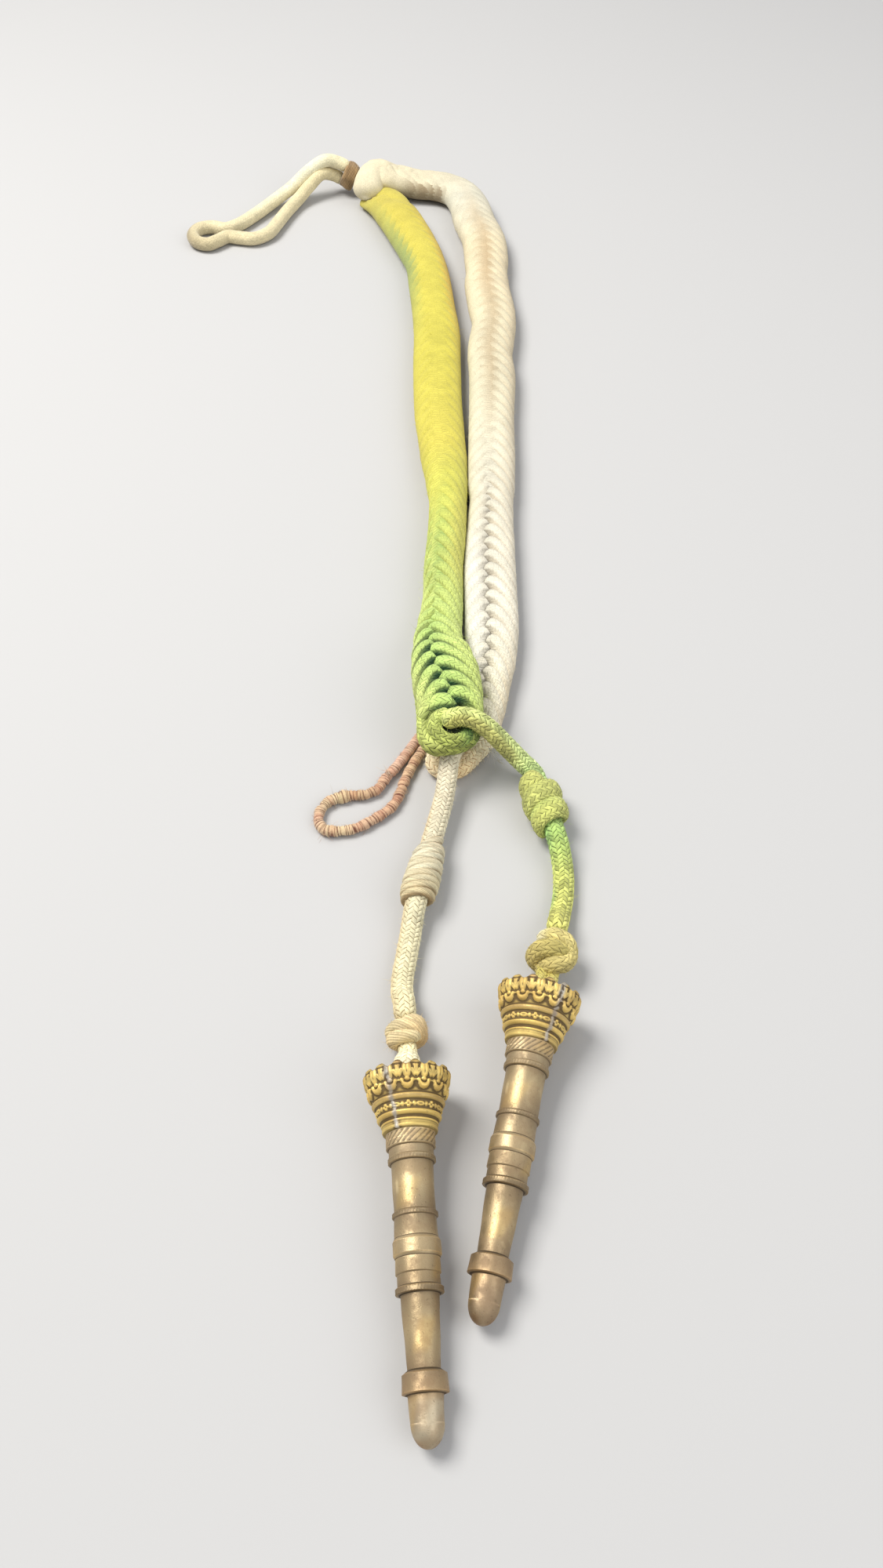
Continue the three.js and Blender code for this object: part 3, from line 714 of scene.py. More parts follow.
# how far the felt stands between the lobes, and how much it hides the stitches:
# (mm along the arm, share of the section, felt)
armCore = {
    "green": [(0, 1.04, 1), (10, 1.03, 1), (16, 0.96, 0.95), (70, 0.965, 0.85), (120, 0.965, 0.7),
              (190, 0.955, 0.55), (216, 0.93, 0.4), (234, 0.87, 0.3), (246, 0.7, 0.3)],
    "white": [(0, 1.04, 1), (10, 1.03, 1), (16, 0.95, 1), (70, 0.955, 0.9), (120, 0.955, 0.8),
              (190, 0.93, 0.7), (215, 0.88, 0.6), (236, 0.7, 0.6)],
}


def feltedCore(kind):
    # the felt that fills an arm between its lobes: its own sections, rounded off at the sewn end by a
    # quarter ellipse, and drawn in where the lobes begin to show
    places, table = sectionsOf(armRows[kind])
    # closer sections over the rounded end
    keep = ((places < 20) | (np.arange(len(places)) % 3 == 0)) & (places < armCore[kind][-1][0])
    s, table = places[keep][:, None], table[keep][:, None, :]
    a = np.linspace(0, 2 * np.pi, 32, endpoint=False)[None, :]
    swell = np.sqrt(np.clip(1 - (1 - np.clip(s / 4.5, 0, 1)) ** 2, 0, 1)) * readOff(armCore[kind], s)
    x = table[..., 7] / 2 * swell * np.cos(a)
    y = table[..., 8] / 2 * (1 + swell * np.sin(a)) + table[..., 6]
    points = table[..., 0:3] + table[..., 3:6] * x[..., None] + upward * y[..., None]
    side = np.where(np.cos(a) > 0, 1, -1)
    phi = np.where(a < np.pi, np.abs(np.pi / 2 - a), np.pi / 2)
    color = armDyes[kind](s + 0 * a, phi + 0 * s, side, 0 * s * a)
    return tube(aboveGround(points), s[:, 0], color, readOff(armCore[kind], s, 2))


# the colour of the yarn along the arm and round the section, with painted shade where lobes meet
def greenArmDye(s, phi, side, crevice):
    leftEdge = smoothstep(0.5, 1.3, phi) * (side < 0)
    rightEdge = smoothstep(0.6, 1.4, phi) * (side > 0)
    emeraldAndCreviceShade = crevice**0.8 * np.exp(-((phi / 1.3) ** 4)) * smoothstep(242, 255, s)
    return stained(
        colorAlong([
            (0, (186, 174, 84)), (30, (196, 182, 76)), (70, (198, 187, 78)), (120, (196, 186, 76)),
            (165, (202, 190, 82)), (190, (204, 202, 90)), (210, (190, 200, 104)), (235, (198, 212, 120)),
            (262, (206, 220, 126)), (280, (200, 212, 118))], s),
        # painted shade down the left side, some way along the arm
        (leftEdge * bell(s, 58, 34) * 0.7, (124, 150, 100)),
        (leftEdge * smoothstep(200, 230, s) * 0.3, (220, 224, 146)),
        (rightEdge * bell(s, 70, 40) * 0.55, (204, 152, 66)),
        (rightEdge * smoothstep(180, 200, s) * smoothstep(236, 215, s) * 0.5, (206, 192, 92)),
        # painted shade in the groove
        (bell(phi, 0, 0.5) * bell(s, 216, 24) * 0.6, (116, 154, 84)),
        (bell(phi, 0, 0.95) * smoothstep(230, 250, s) * 0.55, (158, 202, 108)),
        # painted shade where the lobes meet
        (crevice * smoothstep(120, 210, s) * 0.45, (110, 126, 48)),
        (crevice * smoothstep(0, 150, s) * 0.1, (148, 130, 44)),
        # deep green dye near the end of the groove, deepened by painted shade where the lobes meet
        (emeraldAndCreviceShade * 0.97, (4, 62, 34)))


def whiteArmDye(s, phi, side, crevice):
    left, right = side < 0, side > 0
    nearSideShade = smoothstep(0.9, 1.6, phi) * left * smoothstep(12, 22, s) * smoothstep(42, 34, s)
    groove = bell(phi, 0, 0.42)
    deep = crevice * smoothstep(60, 215, s) * smoothstep(310, 255, s)
    return stained(
        colorAlong([
            (0, (222, 210, 176)), (24, (214, 204, 174)), (48, (204, 200, 180)), (66, (208, 200, 174)),
            (84, (214, 202, 168)), (120, (214, 204, 172)), (170, (214, 208, 180)), (215, (216, 210, 188)),
            (245, (222, 216, 196)), (270, (230, 224, 204)), (300, (234, 226, 200))], s),
        # painted shade on the near side face of the level stretch
        (nearSideShade * 0.7, (116, 90, 54)),
        (smoothstep(0.2, 0.8, phi) * left * smoothstep(225, 250, s) * 0.5, (222, 222, 216)),
        (smoothstep(0.6, 1.4, phi) * right * bell(s, 150, 90) * 0.35, (206, 178, 138)),
        (groove * bell(s, 95, 40) * 0.6, (172, 138, 94)),
        (groove * bell(s, 158, 36) * 0.6, (160, 134, 96)),
        # painted shade: grey along the groove lower down, brown where lobes meet, dark grey in the crevices
        # at the groove
        (groove * smoothstep(185, 225, s) * 0.35, (150, 146, 138)),
        (deep * (0.3 + 0.1 * side), (156, 132, 98)),
        (crevice * groove * smoothstep(185, 235, s) * 0.9, (70, 68, 66)),
        (smoothstep(0.9, 1.6, phi) * smoothstep(265, 300, s) * 0.4, (190, 160, 112)))


armDyes = {"green": greenArmDye, "white": whiteArmDye}

# the strand ends seen at the top: (route, mm along the arm, breadth, height)
sewnLobes = {
    "green": ([(5.5, 196.5, 3.4), (8.0, 197.0, 3.9), (11.5, 195.6, 4.1), (14.6, 191.0, 4.2),
               (16.6, 185.0, 3.8)], 8, 10, 6.6),
    "white": ([(13.5, 207.0, 7.0), (9.4, 206.8, 8.0), (6.6, 205.2, 8.4), (5.2, 201.8, 8.0),
               (4.4, 197.8, 6.8), (3.8, 194.2, 4.6)], 2, 11.0, 9.0),
}


def feltedLobe(kind):
    # one fat felted strand that turns over the sewn end, its ends rounded off
    route, start, breadth, height = sewnLobes[kind]
    path, places = evenRoute(route, 0.5)
    side, up = sideOf(path, upward)
    swell = roundEnds(places, 4.2)[:, None]
    around = 40
    points = carriedProfile(path, side, up, breadth / 2 * swell, height / 2 * swell, around)
    s = start + places[:, None] + np.zeros(around)
    return tube(aboveGround(points), places, armDyes[kind](s, 0.2 + 0 * s, 1, 0 * s), 1.0)


def buildArm(kind):
    batches = [feltedCore(kind), feltedLobe(kind)]
    for side in (1, -1):
        for fine in (False, True):
            points, walked, s, phi, crevice = plaitStrands(kind, side, plaitLay, fine)
            color = withAlpha(armDyes[kind](s, phi, side, crevice))
            # each strand starts at another stitch of the weave
            lay = walked + s[:, :1, 0] * 7.3
            batches.append({"points": points, "lay": lay, "tint": color, "extra": readOff(armFelt[kind], s)})
            shown = (phi[:, :, 0] > 0.3) * (phi[:, :, 0] < 2.2)
            near = np.clip((s[:, :, 0] - 150) / 130, 0.05, 1) * shown
            batches.append(fuzzOn(batches[-1], 500 if fine else 200, 1.1, 11 + side + 2 * fine, near))
    addPiece(kind + "_arm", batches, cloth["plaitedYarn"], kind + "_cloth", kind + "_plait")


buildArm("green")
buildArm("white")
print("arms plaited")


# Cords of braided yarn
def braidedAlong(route, places, lay, colorAt, up=upward, breadth=1.0, height=1.0):
    # r = d / 2 + relief (stitch height - 0.7), rounded off at both ends; breadth and height hold one
    # share of the radius, or one a ring
    side, lift = sideOf(route, up)
    share = np.arange(lay["around"])[None, :] / lay["around"]
    stitches = braidRelief(share, places[:, None], lay["columns"], lay["stitch"], lay["slant"])
    radius = lay["diameter"] / 2 * roundEnds(places, lay["diameter"] * 0.45)[:, None]
    rise = lay["relief"] * (stitches - 0.7) * roundEnds(places, 1.0)[:, None]
    wide, high = radius * np.reshape(breadth, (-1, 1)) + rise, radius * np.reshape(height, (-1, 1)) + rise
    points = carriedProfile(route, side, lift, wide, high, lay["around"])
    angle = share * 2 * np.pi
    return tube(points, places, colorAt(places[:, None] + 0 * angle, angle + 0 * places[:, None]))


def braidedCord(points, lay, colorAt):
    route, places = evenRoute(points, lay["step"])
    return braidedAlong(route, places, lay, colorAt)


def beyond(first, second, distance):
    # the point that far past the first, on the line to the second
    first, second = np.array(first, float), np.array(second, float)
    return first + unit(second - first) * distance


cordLay = {
    "diameter": 4.5,
    "columns": 12,
    "stitch": 1.2,
    "slant": 0.62,
    "relief": 0.22,
    "around": 72,
    "step": 0.24,
}
lying = 2.35  # middle of a cord that lies on the surface

greenKnotTop, greenKnotFoot = (52.6, -78.9, 4.7), (56.5, -95.6, 4.7)
greenStopTop, greenStopFoot = (54.9, -121.8, 4.7), (52.9, -130.2, 4.7)
greenCordRoute = [
    (32.0, -73.4, 15.2), (33.6, -71.9, 15.8), (36.2, -71.5, 16.2), (38.9, -72.2, 16.0), (41.9, -73.0, 14.0),
    (45.0, -73.7, 10.4), (47.7, -74.6, 7.4), (49.9, -75.9, 5.6), (51.6, -77.3, 4.8), greenKnotTop,
    (54.5, -87.2, 4.7), greenKnotFoot, (57.1, -98.6, 4.2), (57.6, -101.8, 3.0), (57.8, -105.6, lying),
    (57.3, -111.0, lying), (56.4, -115.4, 2.8), beyond(greenStopTop, greenStopFoot, -2.6),
    beyond(greenStopTop, greenStopFoot, -0.3),
]
whiteKnotTop, whiteKnotFoot = (29.2, -98.2, 4.3), (26.1, -113.6, 4.3)
whiteStopTop, whiteStopFoot = (24.3, -139.4, 4.2), (24.9, -146.6, 4.3)
whiteCordRoute = [
    (37.7, -66.2, 4.9), (37.2, -67.8, 5.2), (35.1, -71.4, 6.3), (33.9, -74.6, 7.1), (33.2, -77.8, 7.2),
    (32.7, -81.4, 5.8), (32.1, -85.6, 4.8), (30.8, -91.4, 4.4), whiteKnotTop, (27.6, -106.0, 4.3),
    whiteKnotFoot, (25.5, -117.0, 3.6), (25.0, -120.6, 2.5), (24.3, -125.4, lying), (23.6, -130.6, lying),
    (23.6, -134.2, 2.9), beyond(whiteStopTop, whiteStopFoot, -2.6), beyond(whiteStopTop, whiteStopFoot, 1.6),
]

greenCordDye = dyeOf(
    [(0, (196, 204, 120)), (10, (206, 214, 134)), (22, (202, 216, 142)), (30, (174, 200, 126)),
     (46, (166, 194, 108)), (56, (196, 202, 112)), (74, (204, 200, 112))],
    (lambda s, a: smoothstep(0.1, 0.9, np.cos(a + 0.3)) * (bell(s, 45, 4) + bell(s, 62, 3)) * 0.5,
     (150, 200, 120)),
    (lambda s, a: smoothstep(0.1, 0.9, np.cos(a)) * smoothstep(26, 18, s) * 0.55, (190, 176, 92)))
whiteCordDye = dyeOf(
    [(0, (228, 218, 188)), (14, (224, 214, 186)), (34, (220, 210, 180)), (52, (222, 214, 178)),
     (76, (228, 218, 176))],
    (lambda s, a: smoothstep(0.3, 1, np.cos(a)) * smoothstep(16, 30, s) * 0.45, (214, 184, 130)))

braid = braidedCord(greenCordRoute, cordLay, greenCordDye)
greenCord = addPiece("green_cord_braid", [braid, fuzzOn(braid, 700, 0.5, 21), fuzzOn(braid, 60, 1.0, 31)],
                     cloth["looseYarn"], "green_cloth", "green_cord")
braid = braidedCord(whiteCordRoute, cordLay, whiteCordDye)
whiteCord = addPiece("white_cord_braid", [braid, fuzzOn(braid, 1100, 0.5, 22), fuzzOn(braid, 90, 1.0, 32)],
                     cloth["cordYarn"], "white_cloth", "white_cord")

# Turns of cord that finish the plaits
turnLay = dict(cordLay, step=0.28)
greenTurnRoute = [
    (27.4, -58.0, 12.2), (27.6, -63.0, 12.4), (28.0, -68.0, 12.4), (28.1, -71.4, 12.2), (28.3, -74.2, 12.2),
    (29.9, -76.5, 12.0), (33.0, -76.3, 11.9), (36.0, -75.2, 11.6), (37.9, -72.8, 11.2), (38.6, -69.6, 11.4),
    (38.9, -65.6, 12.0), (38.8, -61.4, 12.2),
]
greenCurlRoute = [
    (37.4, -69.0, 11.2), (37.5, -71.8, 11.8), (37.0, -74.2, 12.5), (35.4, -76.1, 13.2), (33.2, -76.6, 13.7),
    (31.1, -75.6, 14.1), (30.0, -73.6, 14.4), (30.3, -71.6, 14.9), (31.8, -70.6, 15.5), (33.4, -70.9, 15.8),
]
hollowRoute = [(30.6, -72.6, 11.6), (33.0, -73.4, 12.2), (35.4, -73.8, 12.0), (37.4, -73.4, 11.0)]
whiteTurnRoute = [
    (42.6, -65.8, 2.6), (41.9, -67.1, lying), (40.9, -68.7, lying), (39.2, -70.8, lying),
    (37.3, -73.4, lying), (35.4, -75.2, lying), (32.4, -75.9, lying), (30.2, -74.3, lying),
    (30.3, -71.4, lying), (32.8, -67.2, lying), (33.6, -65.2, lying),
]

# the turn is painted darker where the curl lies over it, as shade, and lighter on its top, a painted
# highlight
greenTurnDye = dyeOf(
    [(0, (196, 210, 116)), (12, (184, 196, 104)), (20, (174, 180, 92)), (26, (150, 160, 78)),
     (31, (110, 140, 70)), (40, (190, 206, 112))],
    (lambda s, a: smoothstep(0.2, 1, np.sin(a)) * 0.25, (214, 226, 140)))
# a dark cord laid in the bottom of the hollow in the curl, which hardly any light reaches: painted shade
hollowShade = dyeOf([(0, (30, 40, 18)), (8, (26, 40, 20))])
# darker where the curl starts low in the hollow and on its underside: painted shade
greenCurlDye = dyeOf(
    [(0, (60, 110, 60)), (5, (90, 130, 66)), (9, (158, 168, 84)), (14, (178, 188, 98)),
     (20, (194, 206, 118)), (26, (190, 204, 116))],
    (lambda s, a: smoothstep(0.3, 1, -np.sin(a)) * 0.5, (60, 100, 50)))
whiteTurnDye = dyeOf(
    [(0, (248, 240, 212)), (6, (246, 232, 196)), (12, (234, 208, 160)), (22, (240, 228, 192)),
     (30, (206, 178, 132))],
    # painted shade on the underside
    (lambda s, a: smoothstep(0.0, 0.9, -np.sin(a)) * 0.4, (196, 154, 102)))

turns = [braidedCord(greenTurnRoute, turnLay, greenTurnDye),
         braidedCord(greenCurlRoute, dict(turnLay, diameter=3.5), greenCurlDye)]
hollow = braidedCord(hollowRoute, dict(turnLay, diameter=3.2), hollowShade)
addPiece("green_turn_braid", turns + [hollow] + [fuzzOn(turn, 350, 0.5, 23) for turn in turns],
         cloth["looseYarn"], "green_cloth", "green_end_turn")
turn = braidedCord(whiteTurnRoute, turnLay, whiteTurnDye)
wisps = [tuft((42.9, -71.6, 5.2), (0.4, -0.75, -0.3), 14, 4.2, 0.28, (226, 222, 210), 41, 0.06),
         tuft((44.4, -73.9, 4.0), (0.7, -0.6, -0.2), 8, 2.6, 0.35, (226, 222, 210), 42, 0.06)]
addPiece("white_turn_braid", [turn, fuzzOn(turn, 500, 0.6, 24)] + wisps,
         cloth["cordYarn"], "white_cloth", "white_end_turn")
print("cords laid")


# Knots
def woundCoil(start, end, coil, radiusAt):
    # P(t) = start + (end - start) t + radius(t) (cos b side + sin b up), b = phase - 2 pi windings t,
    # and each winding leans along the knot by tilt cos b
    start, end = np.array(start, float), np.array(end, float)
    along = unit(end - start)
    side, up = frameOf(along)
    t = np.linspace(0, 1, coil["rings"])[:, None]
    b = np.radians(coil["phase"]) - 2 * np.pi * coil["windings"] * t
    radial = np.cos(b) * side + np.sin(b) * up
    lean = coil["tilt"][0] * (1 - t) + coil["tilt"][1] * t
    lean = lean * (1 + 0.35 * np.sin(b * 0.37)) * np.cos(b)
    route = start + (end - start) * t + radial * radiusAt(t, b) + along * lean
    return route, lengthAlong(route), radial


greenSlide = {
    "windings": 2.55,
    "radius": 3.2,  # to the middle of the wound cord
    "breadth": 1.24,  # of the cord's own radius
    "height": 0.6,
    "lead": 0.42,  # share of the radius where the winding starts
    "bulge": (0.47, 0.12, 0.7),  # share of the way down, its width, and mm that it stands out
    "tilt": (0, 0),  # mm that a winding leans at the top and at the foot
    "phase": 130,
    "rings": 260,
}
whiteSlide = {
    "windings": 9.8,
    "radius": 3.25,
    "cord": 1.8,
    "breadth": 1.12,
    "height": 0.9,
    "tilt": (1.3, 0.5),
    "phase": 190,
    "rings": 560,
    # the spindle: (share of the way down, share of the radius)
    "spindle": [(0, 0.56), (0.06, 0.72), (0.2, 0.84), (0.42, 0.94), (0.64, 1.0), (0.8, 0.98), (0.92, 0.9),
                (1, 0.78)],
}
greenSlideDye = dyeOf(
    [(0, (180, 182, 104)), (30, (182, 186, 106)), (60, (188, 192, 104))],
    (lambda s, a: smoothstep(34, 56, s) * smoothstep(-0.2, 0.8, np.cos(a)) * 0.4, (150, 190, 110)))
whiteSlideDye = dyeOf(
    [(0, (220, 212, 184)), (90, (226, 218, 186)), (150, (218, 206, 168)), (200, (208, 190, 146))],
    (lambda s, a: (0.5 + 0.5 * np.sin(s * 0.61) * np.sin(s * 0.17 + 1)) * 0.3, (196, 168, 118)),
    # painted shade where the windings meet
    (lambda s, a: smoothstep(0.45, 0.9, np.abs(np.cos(a))) * 0.6, (150, 116, 72)))


def greenSlideRadius(t, b):
    lead = greenSlide["lead"] + (1 - greenSlide["lead"]) * smoothstep(0, 0.16, t)
    place, width, high = greenSlide["bulge"]
    bulge = high * bell(t, place, width) * np.clip(np.cos(b), 0, 1)
    return greenSlide["radius"] * lead * (1 - 0.2 * smoothstep(0.9, 1, t)) + bulge


def whiteSlideRadius(t, b):
    return whiteSlide["radius"] * readOff(whiteSlide["spindle"], t)


def woundBand(start, end, coil, radiusAt, lay, colorAt):
    route, walked, radial = woundCoil(start, end, coil, radiusAt)
    return braidedAlong(route, walked, lay, colorAt, radial, coil["breadth"], coil["height"])


bandLay = dict(cordLay, columns=16, stitch=1.1, slant=0.6, around=64, relief=0.14)
band = woundBand(beyond(greenKnotTop, greenKnotFoot, 1.9), beyond(greenKnotFoot, greenKnotTop, 2.5),
                 greenSlide, greenSlideRadius, bandLay, greenSlideDye)
addPiece("green_slide_braid", [band, fuzzOn(band, 600, 0.5, 25)], cloth["bandYarn"], "green_cloth",
         "green_slide_knot")

twistLay = {
    "diameter": whiteSlide["cord"],
    "columns": 2,
    "stitch": 0.9,
    "slant": 8.0,
    "relief": 0.03,
    "around": 26,
    "step": 0.3,
}
band = woundBand(beyond(whiteKnotTop, whiteKnotFoot, 0.6), beyond(whiteKnotFoot, whiteKnotTop, 0.7),
                 whiteSlide, whiteSlideRadius, twistLay, whiteSlideDye)
addPiece("white_slide_braid", [band, fuzzOn(band, 600, 0.5, 26)], cloth["twistYarn"], "white_cloth",
         "white_slide_knot")


def knotted(top, foot, stop, lay, colorAt):
    # a stopper knot tied by hand: its turns are across, along and above its middle, in mm
    top, foot = np.array(top, float), np.array(foot, float)
    along = unit(foot - top)
    side = -unit(np.cross(along, (0, 0, 1)))
    up = np.cross(along, side)
    rows = np.array(stop["turns"]) * stop["reach"]
    points = (top + foot) / 2 + rows[:, :1] * side + rows[:, 1:2] * along + rows[:, 2:] * up
    route, walked = evenRoute(aboveGround(points, stop["diameter"] / 2 + 0.1), lay["step"])
    side, lift = sideOf(route, unit(route - (top + foot) / 2))
    return braidedAlong(route, walked, lay, colorAt, lift)


greenStop = {
    "reach": (0.8, 0.94, 0.92),  # how far the turns are drawn in, across, along and above
    "diameter": 3.9,
    "turns": [
        (0, -3.4, -1), (-2.2, -2.9, 0.6), (0, -3.0, 2.3), (2.9, -2.3, 2.0), (4.2, -0.2, 0.9),
        (3.6, 2.2, 1.3), (1.6, 3.2, 1.7), (-1.0, 3.0, -0.4), (-2.0, 2.0, -2.0), (-4.0, 1.6, 0),
        (-2.8, 0.9, 2.5), (0, 0.4, 3.2), (2.3, 0.2, 1.8), (2.4, 0.4, -0.6),
    ],
}
whiteStop = {
    "reach": (0.88, 0.62, 0.9),
    "diameter": 3.1,
    "turns": [
        (0, -3.2, -0.6), (0.8, -3.0, 1.4), (2.4, -2.3, 1.9), (3.0, -0.9, 0.4), (1.6, -0.4, -1.8),
        (-1.6, -0.4, -1.8), (-3.0, -0.6, 0.2), (-1.6, -0.9, 2.4), (0.6, -0.4, 2.9), (2.6, 0.3, 1.6),
        (2.9, 1.3, -0.4), (0.8, 1.9, -1.8), (-2.0, 2.0, -1.2), (-2.8, 2.1, 0.7), (-1.2, 2.0, 2.2),
        (1.4, 1.6, 2.0), (2.0, 1.8, 0.2),
    ],
}

greenStopDye = dyeOf(
    [(0, (200, 198, 160)), (1.6, (214, 210, 188)), (2.8, (206, 200, 168)), (4.4, (200, 186, 118)),
     (22, (198, 180, 112)), (30, (184, 172, 98)), (42, (202, 186, 114)), (60, (178, 164, 92))],
    (lambda s, a: smoothstep(0.2, 1, np.sin(a + s * 0.15)) * 0.35, (222, 208, 136)))
whiteStopDye = dyeOf(
    [(0, (220, 206, 164)), (8, (208, 172, 116)), (14, (222, 204, 158)), (22, (212, 178, 124)),
     (34, (226, 210, 164)), (44, (206, 172, 116)), (60, (216, 194, 144))],
    (lambda s, a: smoothstep(0.3, 1, np.sin(s * 0.9)) * 0.25, (228, 214, 172)))

stopLay = dict(cordLay, diameter=greenStop["diameter"], columns=14, stitch=1.15, slant=0.65, around=70,
               step=0.28, relief=0.2)
knot = knotted(greenStopTop, greenStopFoot, greenStop, stopLay, greenStopDye)
addPiece("green_stop_braid", [knot, fuzzOn(knot, 700, 0.5, 29)], cloth["stopYarn"], "green_cloth",
         "green_end_knot")
stopLay = dict(twistLay, diameter=whiteStop["diameter"], around=40)
knot = knotted(beyond(whiteStopTop, whiteStopFoot, 0.7), beyond(whiteStopFoot, whiteStopTop, -0.7),
               whiteStop, stopLay, whiteStopDye)
addPiece("white_stop_braid", [knot, fuzzOn(knot, 700, 0.6, 30)], cloth["twistYarn"], "white_cloth",
         "white_end_knot")
print("knots tied")

# Ferrets: where each mouth is, which way it points and where round it the soldered joint runs
ferrets = {
    "green": {"mouth": (51.1, -135.4, 8.25), "heading": -12.0, "seam": 124},
    "white": {"mouth": (24.9, -152.7, 8.25), "heading": 4.2, "seam": 62},
}
ferretTilt = 4.44  # degrees that the tips are down


def ferretAxis(kind):
    h, t = math.radians(ferrets[kind]["heading"]), math.radians(ferretTilt)
    return np.array([math.sin(h) * math.cos(t), -math.cos(h) * math.cos(t), -math.sin(t)])


def axisAt(kind, s):
    return np.array(ferrets[kind]["mouth"]) + ferretAxis(kind) * s


# Tails of cord, from the stopper knots into the crowns
def tailRoute(kind, foot, top, aside):
    # aside moves the run sideways, in mm, where two thin braids go in side by side
    start = [beyond(foot, top, 1.6), beyond(foot, top, -0.3), beyond(foot, top, -1.6)]
    inside = [axisAt(kind, 0.5), axisAt(kind, 5), axisAt(kind, 8.6)]
    side = frameOf(ferretAxis(kind))[0]
    return [p + side * aside for p in start + inside]


thinLay = {
    "diameter": 2.5,
    "columns": 6,
    "stitch": 1.5,
    "slant": 0.6,
    "relief": 0.25,
    "around": 36,
    "step": 0.3,
}
# darker towards the end, deep inside the crown: painted shade
tailDye = dyeOf([(0, (190, 176, 96)), (8, (214, 202, 116)), (16, (150, 136, 80))])
routes = [tailRoute("green", greenStopFoot, greenStopTop, aside) for aside in (-1.1, 1.1)]
tails = [braidedCord(route, thinLay, tailDye) for route in routes]
addPiece("green_tail_braid", tails, cloth["fineYarn"], "green_cloth", "green_cord_tail")

# darker towards the end, deep inside the crown: painted shade
tailDye = dyeOf([(0, (240, 228, 180)), (8, (246, 238, 200)), (16, (180, 160, 120))])
tailLay = dict(cordLay, diameter=4.0, around=60, step=0.3)
route, walked = evenRoute(tailRoute("white", whiteStopFoot, whiteStopTop, 0), tailLay["step"])
flare = 0.9 + 0.35 * smoothstep(2, 7, walked)
tail = braidedAlong(route, walked, tailLay, tailDye, breadth=flare, height=flare * 0.9)
addPiece("white_tail_braid", [tail], cloth["cordYarn"], "white_cloth", "white_cord_tail")
print("tails laid")

# Shoulder loop, its whipping, and the button loop
whipping = {
    "middle": (-3.2, 208.9, 6.4),
    "axis": (0.86, -0.12, -0.42),
    "radius": 4.8,
    "length": 4.0,
    "thread": 0.5,
    "over": 0.35,  # mm that the thread is wound on towards the arms
    "more": 1.1,  # mm that the thread runs on past that length
    "around": 72,
    "perTurn": 8,  # rings for one turn of the thread
}
whippingAxis = unit(np.array(whipping["axis"]))
whippingUp = frameOf(whippingAxis)[1]


def loopRoot(side, out):
    # where a run of the shoulder loop meets the whipping; side 1 is the upper run, -1 the lower
    p = np.array(whipping["middle"]) - whippingAxis * (whipping["length"] / 2 + 0.3 + out)
    return p + whippingUp * side * (cordLay["diameter"] / 2 + 0.3)


loopRoute = [
    loopRoot(1, -1.4), loopRoot(1, 2.5), (-11.4, 208.5, 12.1), (-17.6, 206.8, 9.2), (-24.2, 202.8, 4.9),
    (-30.4, 196.8, 2.8), (-36.6, 187.2, lying), (-42.2, 179.4, lying), (-46.4, 176.6, lying),
    (-51.4, 178.0, lying), (-55.8, 176.4, lying), (-57.4, 171.8, lying), (-55.4, 167.2, lying),
    (-51.4, 165.6, lying), (-48.0, 168.2, lying), (-45.0, 170.9, lying), (-40.6, 170.2, lying),
    (-35.4, 169.6, lying), (-30.8, 173.2, lying), (-28.0, 180.6, lying), (-25.4, 189.0, lying),
    (-21.8, 197.6, 2.8), (-17.4, 203.4, 5.4), (-13.2, 206.9, 7.9), loopRoot(-1, 2.5), loopRoot(-1, -1.4),
]
loopLay = dict(cordLay, columns=16, stitch=1.1, slant=0.5, relief=0.06, around=32, step=0.5)
loopDye = dyeOf(
    [(0, (226, 214, 172)), (14, (238, 232, 200)), (40, (232, 222, 184)), (62, (216, 204, 166)),
     (80, (206, 192, 152)), (110, (222, 208, 168)), (156, (224, 210, 166))],
    (lambda s, a: bell(s, 76, 9) * smoothstep(-0.4, 0.9, np.cos(a)) * 0.6, (128, 112, 86)))
addPiece("shoulder_loop_braid", [braidedCord(loopRoute, loopLay, loopDye)], cloth["loopYarn"], "white_cloth",
         "shoulder_loop")


def woundSleeve(lay):
    # thread wound round, a little out of round: r = R - t / 2 + t / 2 sqrt|sin(pi s / t)|, and each
    # turn is led on by one thread
    length, thread = lay["length"] + lay["more"], lay["thread"]
    s = np.linspace(0, length, int(length / thread * lay["perTurn"]))[:, None]
    a = np.linspace(0, 2 * np.pi, lay["around"], endpoint=False)[None, :]
    rib = np.sqrt(np.abs(np.sin(np.pi * (s / thread + a / (2 * np.pi)))))
    r = (lay["radius"] - thread * 0.5 + thread * 0.5 * rib) * (0.8 + 0.2 * roundEnds(s[:, 0], 0.6)[:, None])
    r = r + 0.22 * np.sin(3 * a + s) + 0.14 * np.sin(7 * a) - 0.5 * ((s / length - 0.5) * 2) ** 2
    foot = np.array(lay["middle"]) + whippingAxis * (lay["over"] - length / 2)
    points = turnedAbout(foot, whippingAxis, s + 0 * a, r, a)
    # darker between the turns of thread: painted shade
    return tube(points, s[:, 0], stained(linear(158, 130, 90) + 0 * points, (1 - rib, (84, 58, 36))))


addPiece("whipping_thread", [woundSleeve(whipping)], cloth["threadYarn"], "brown_thread", "loop_whipping")

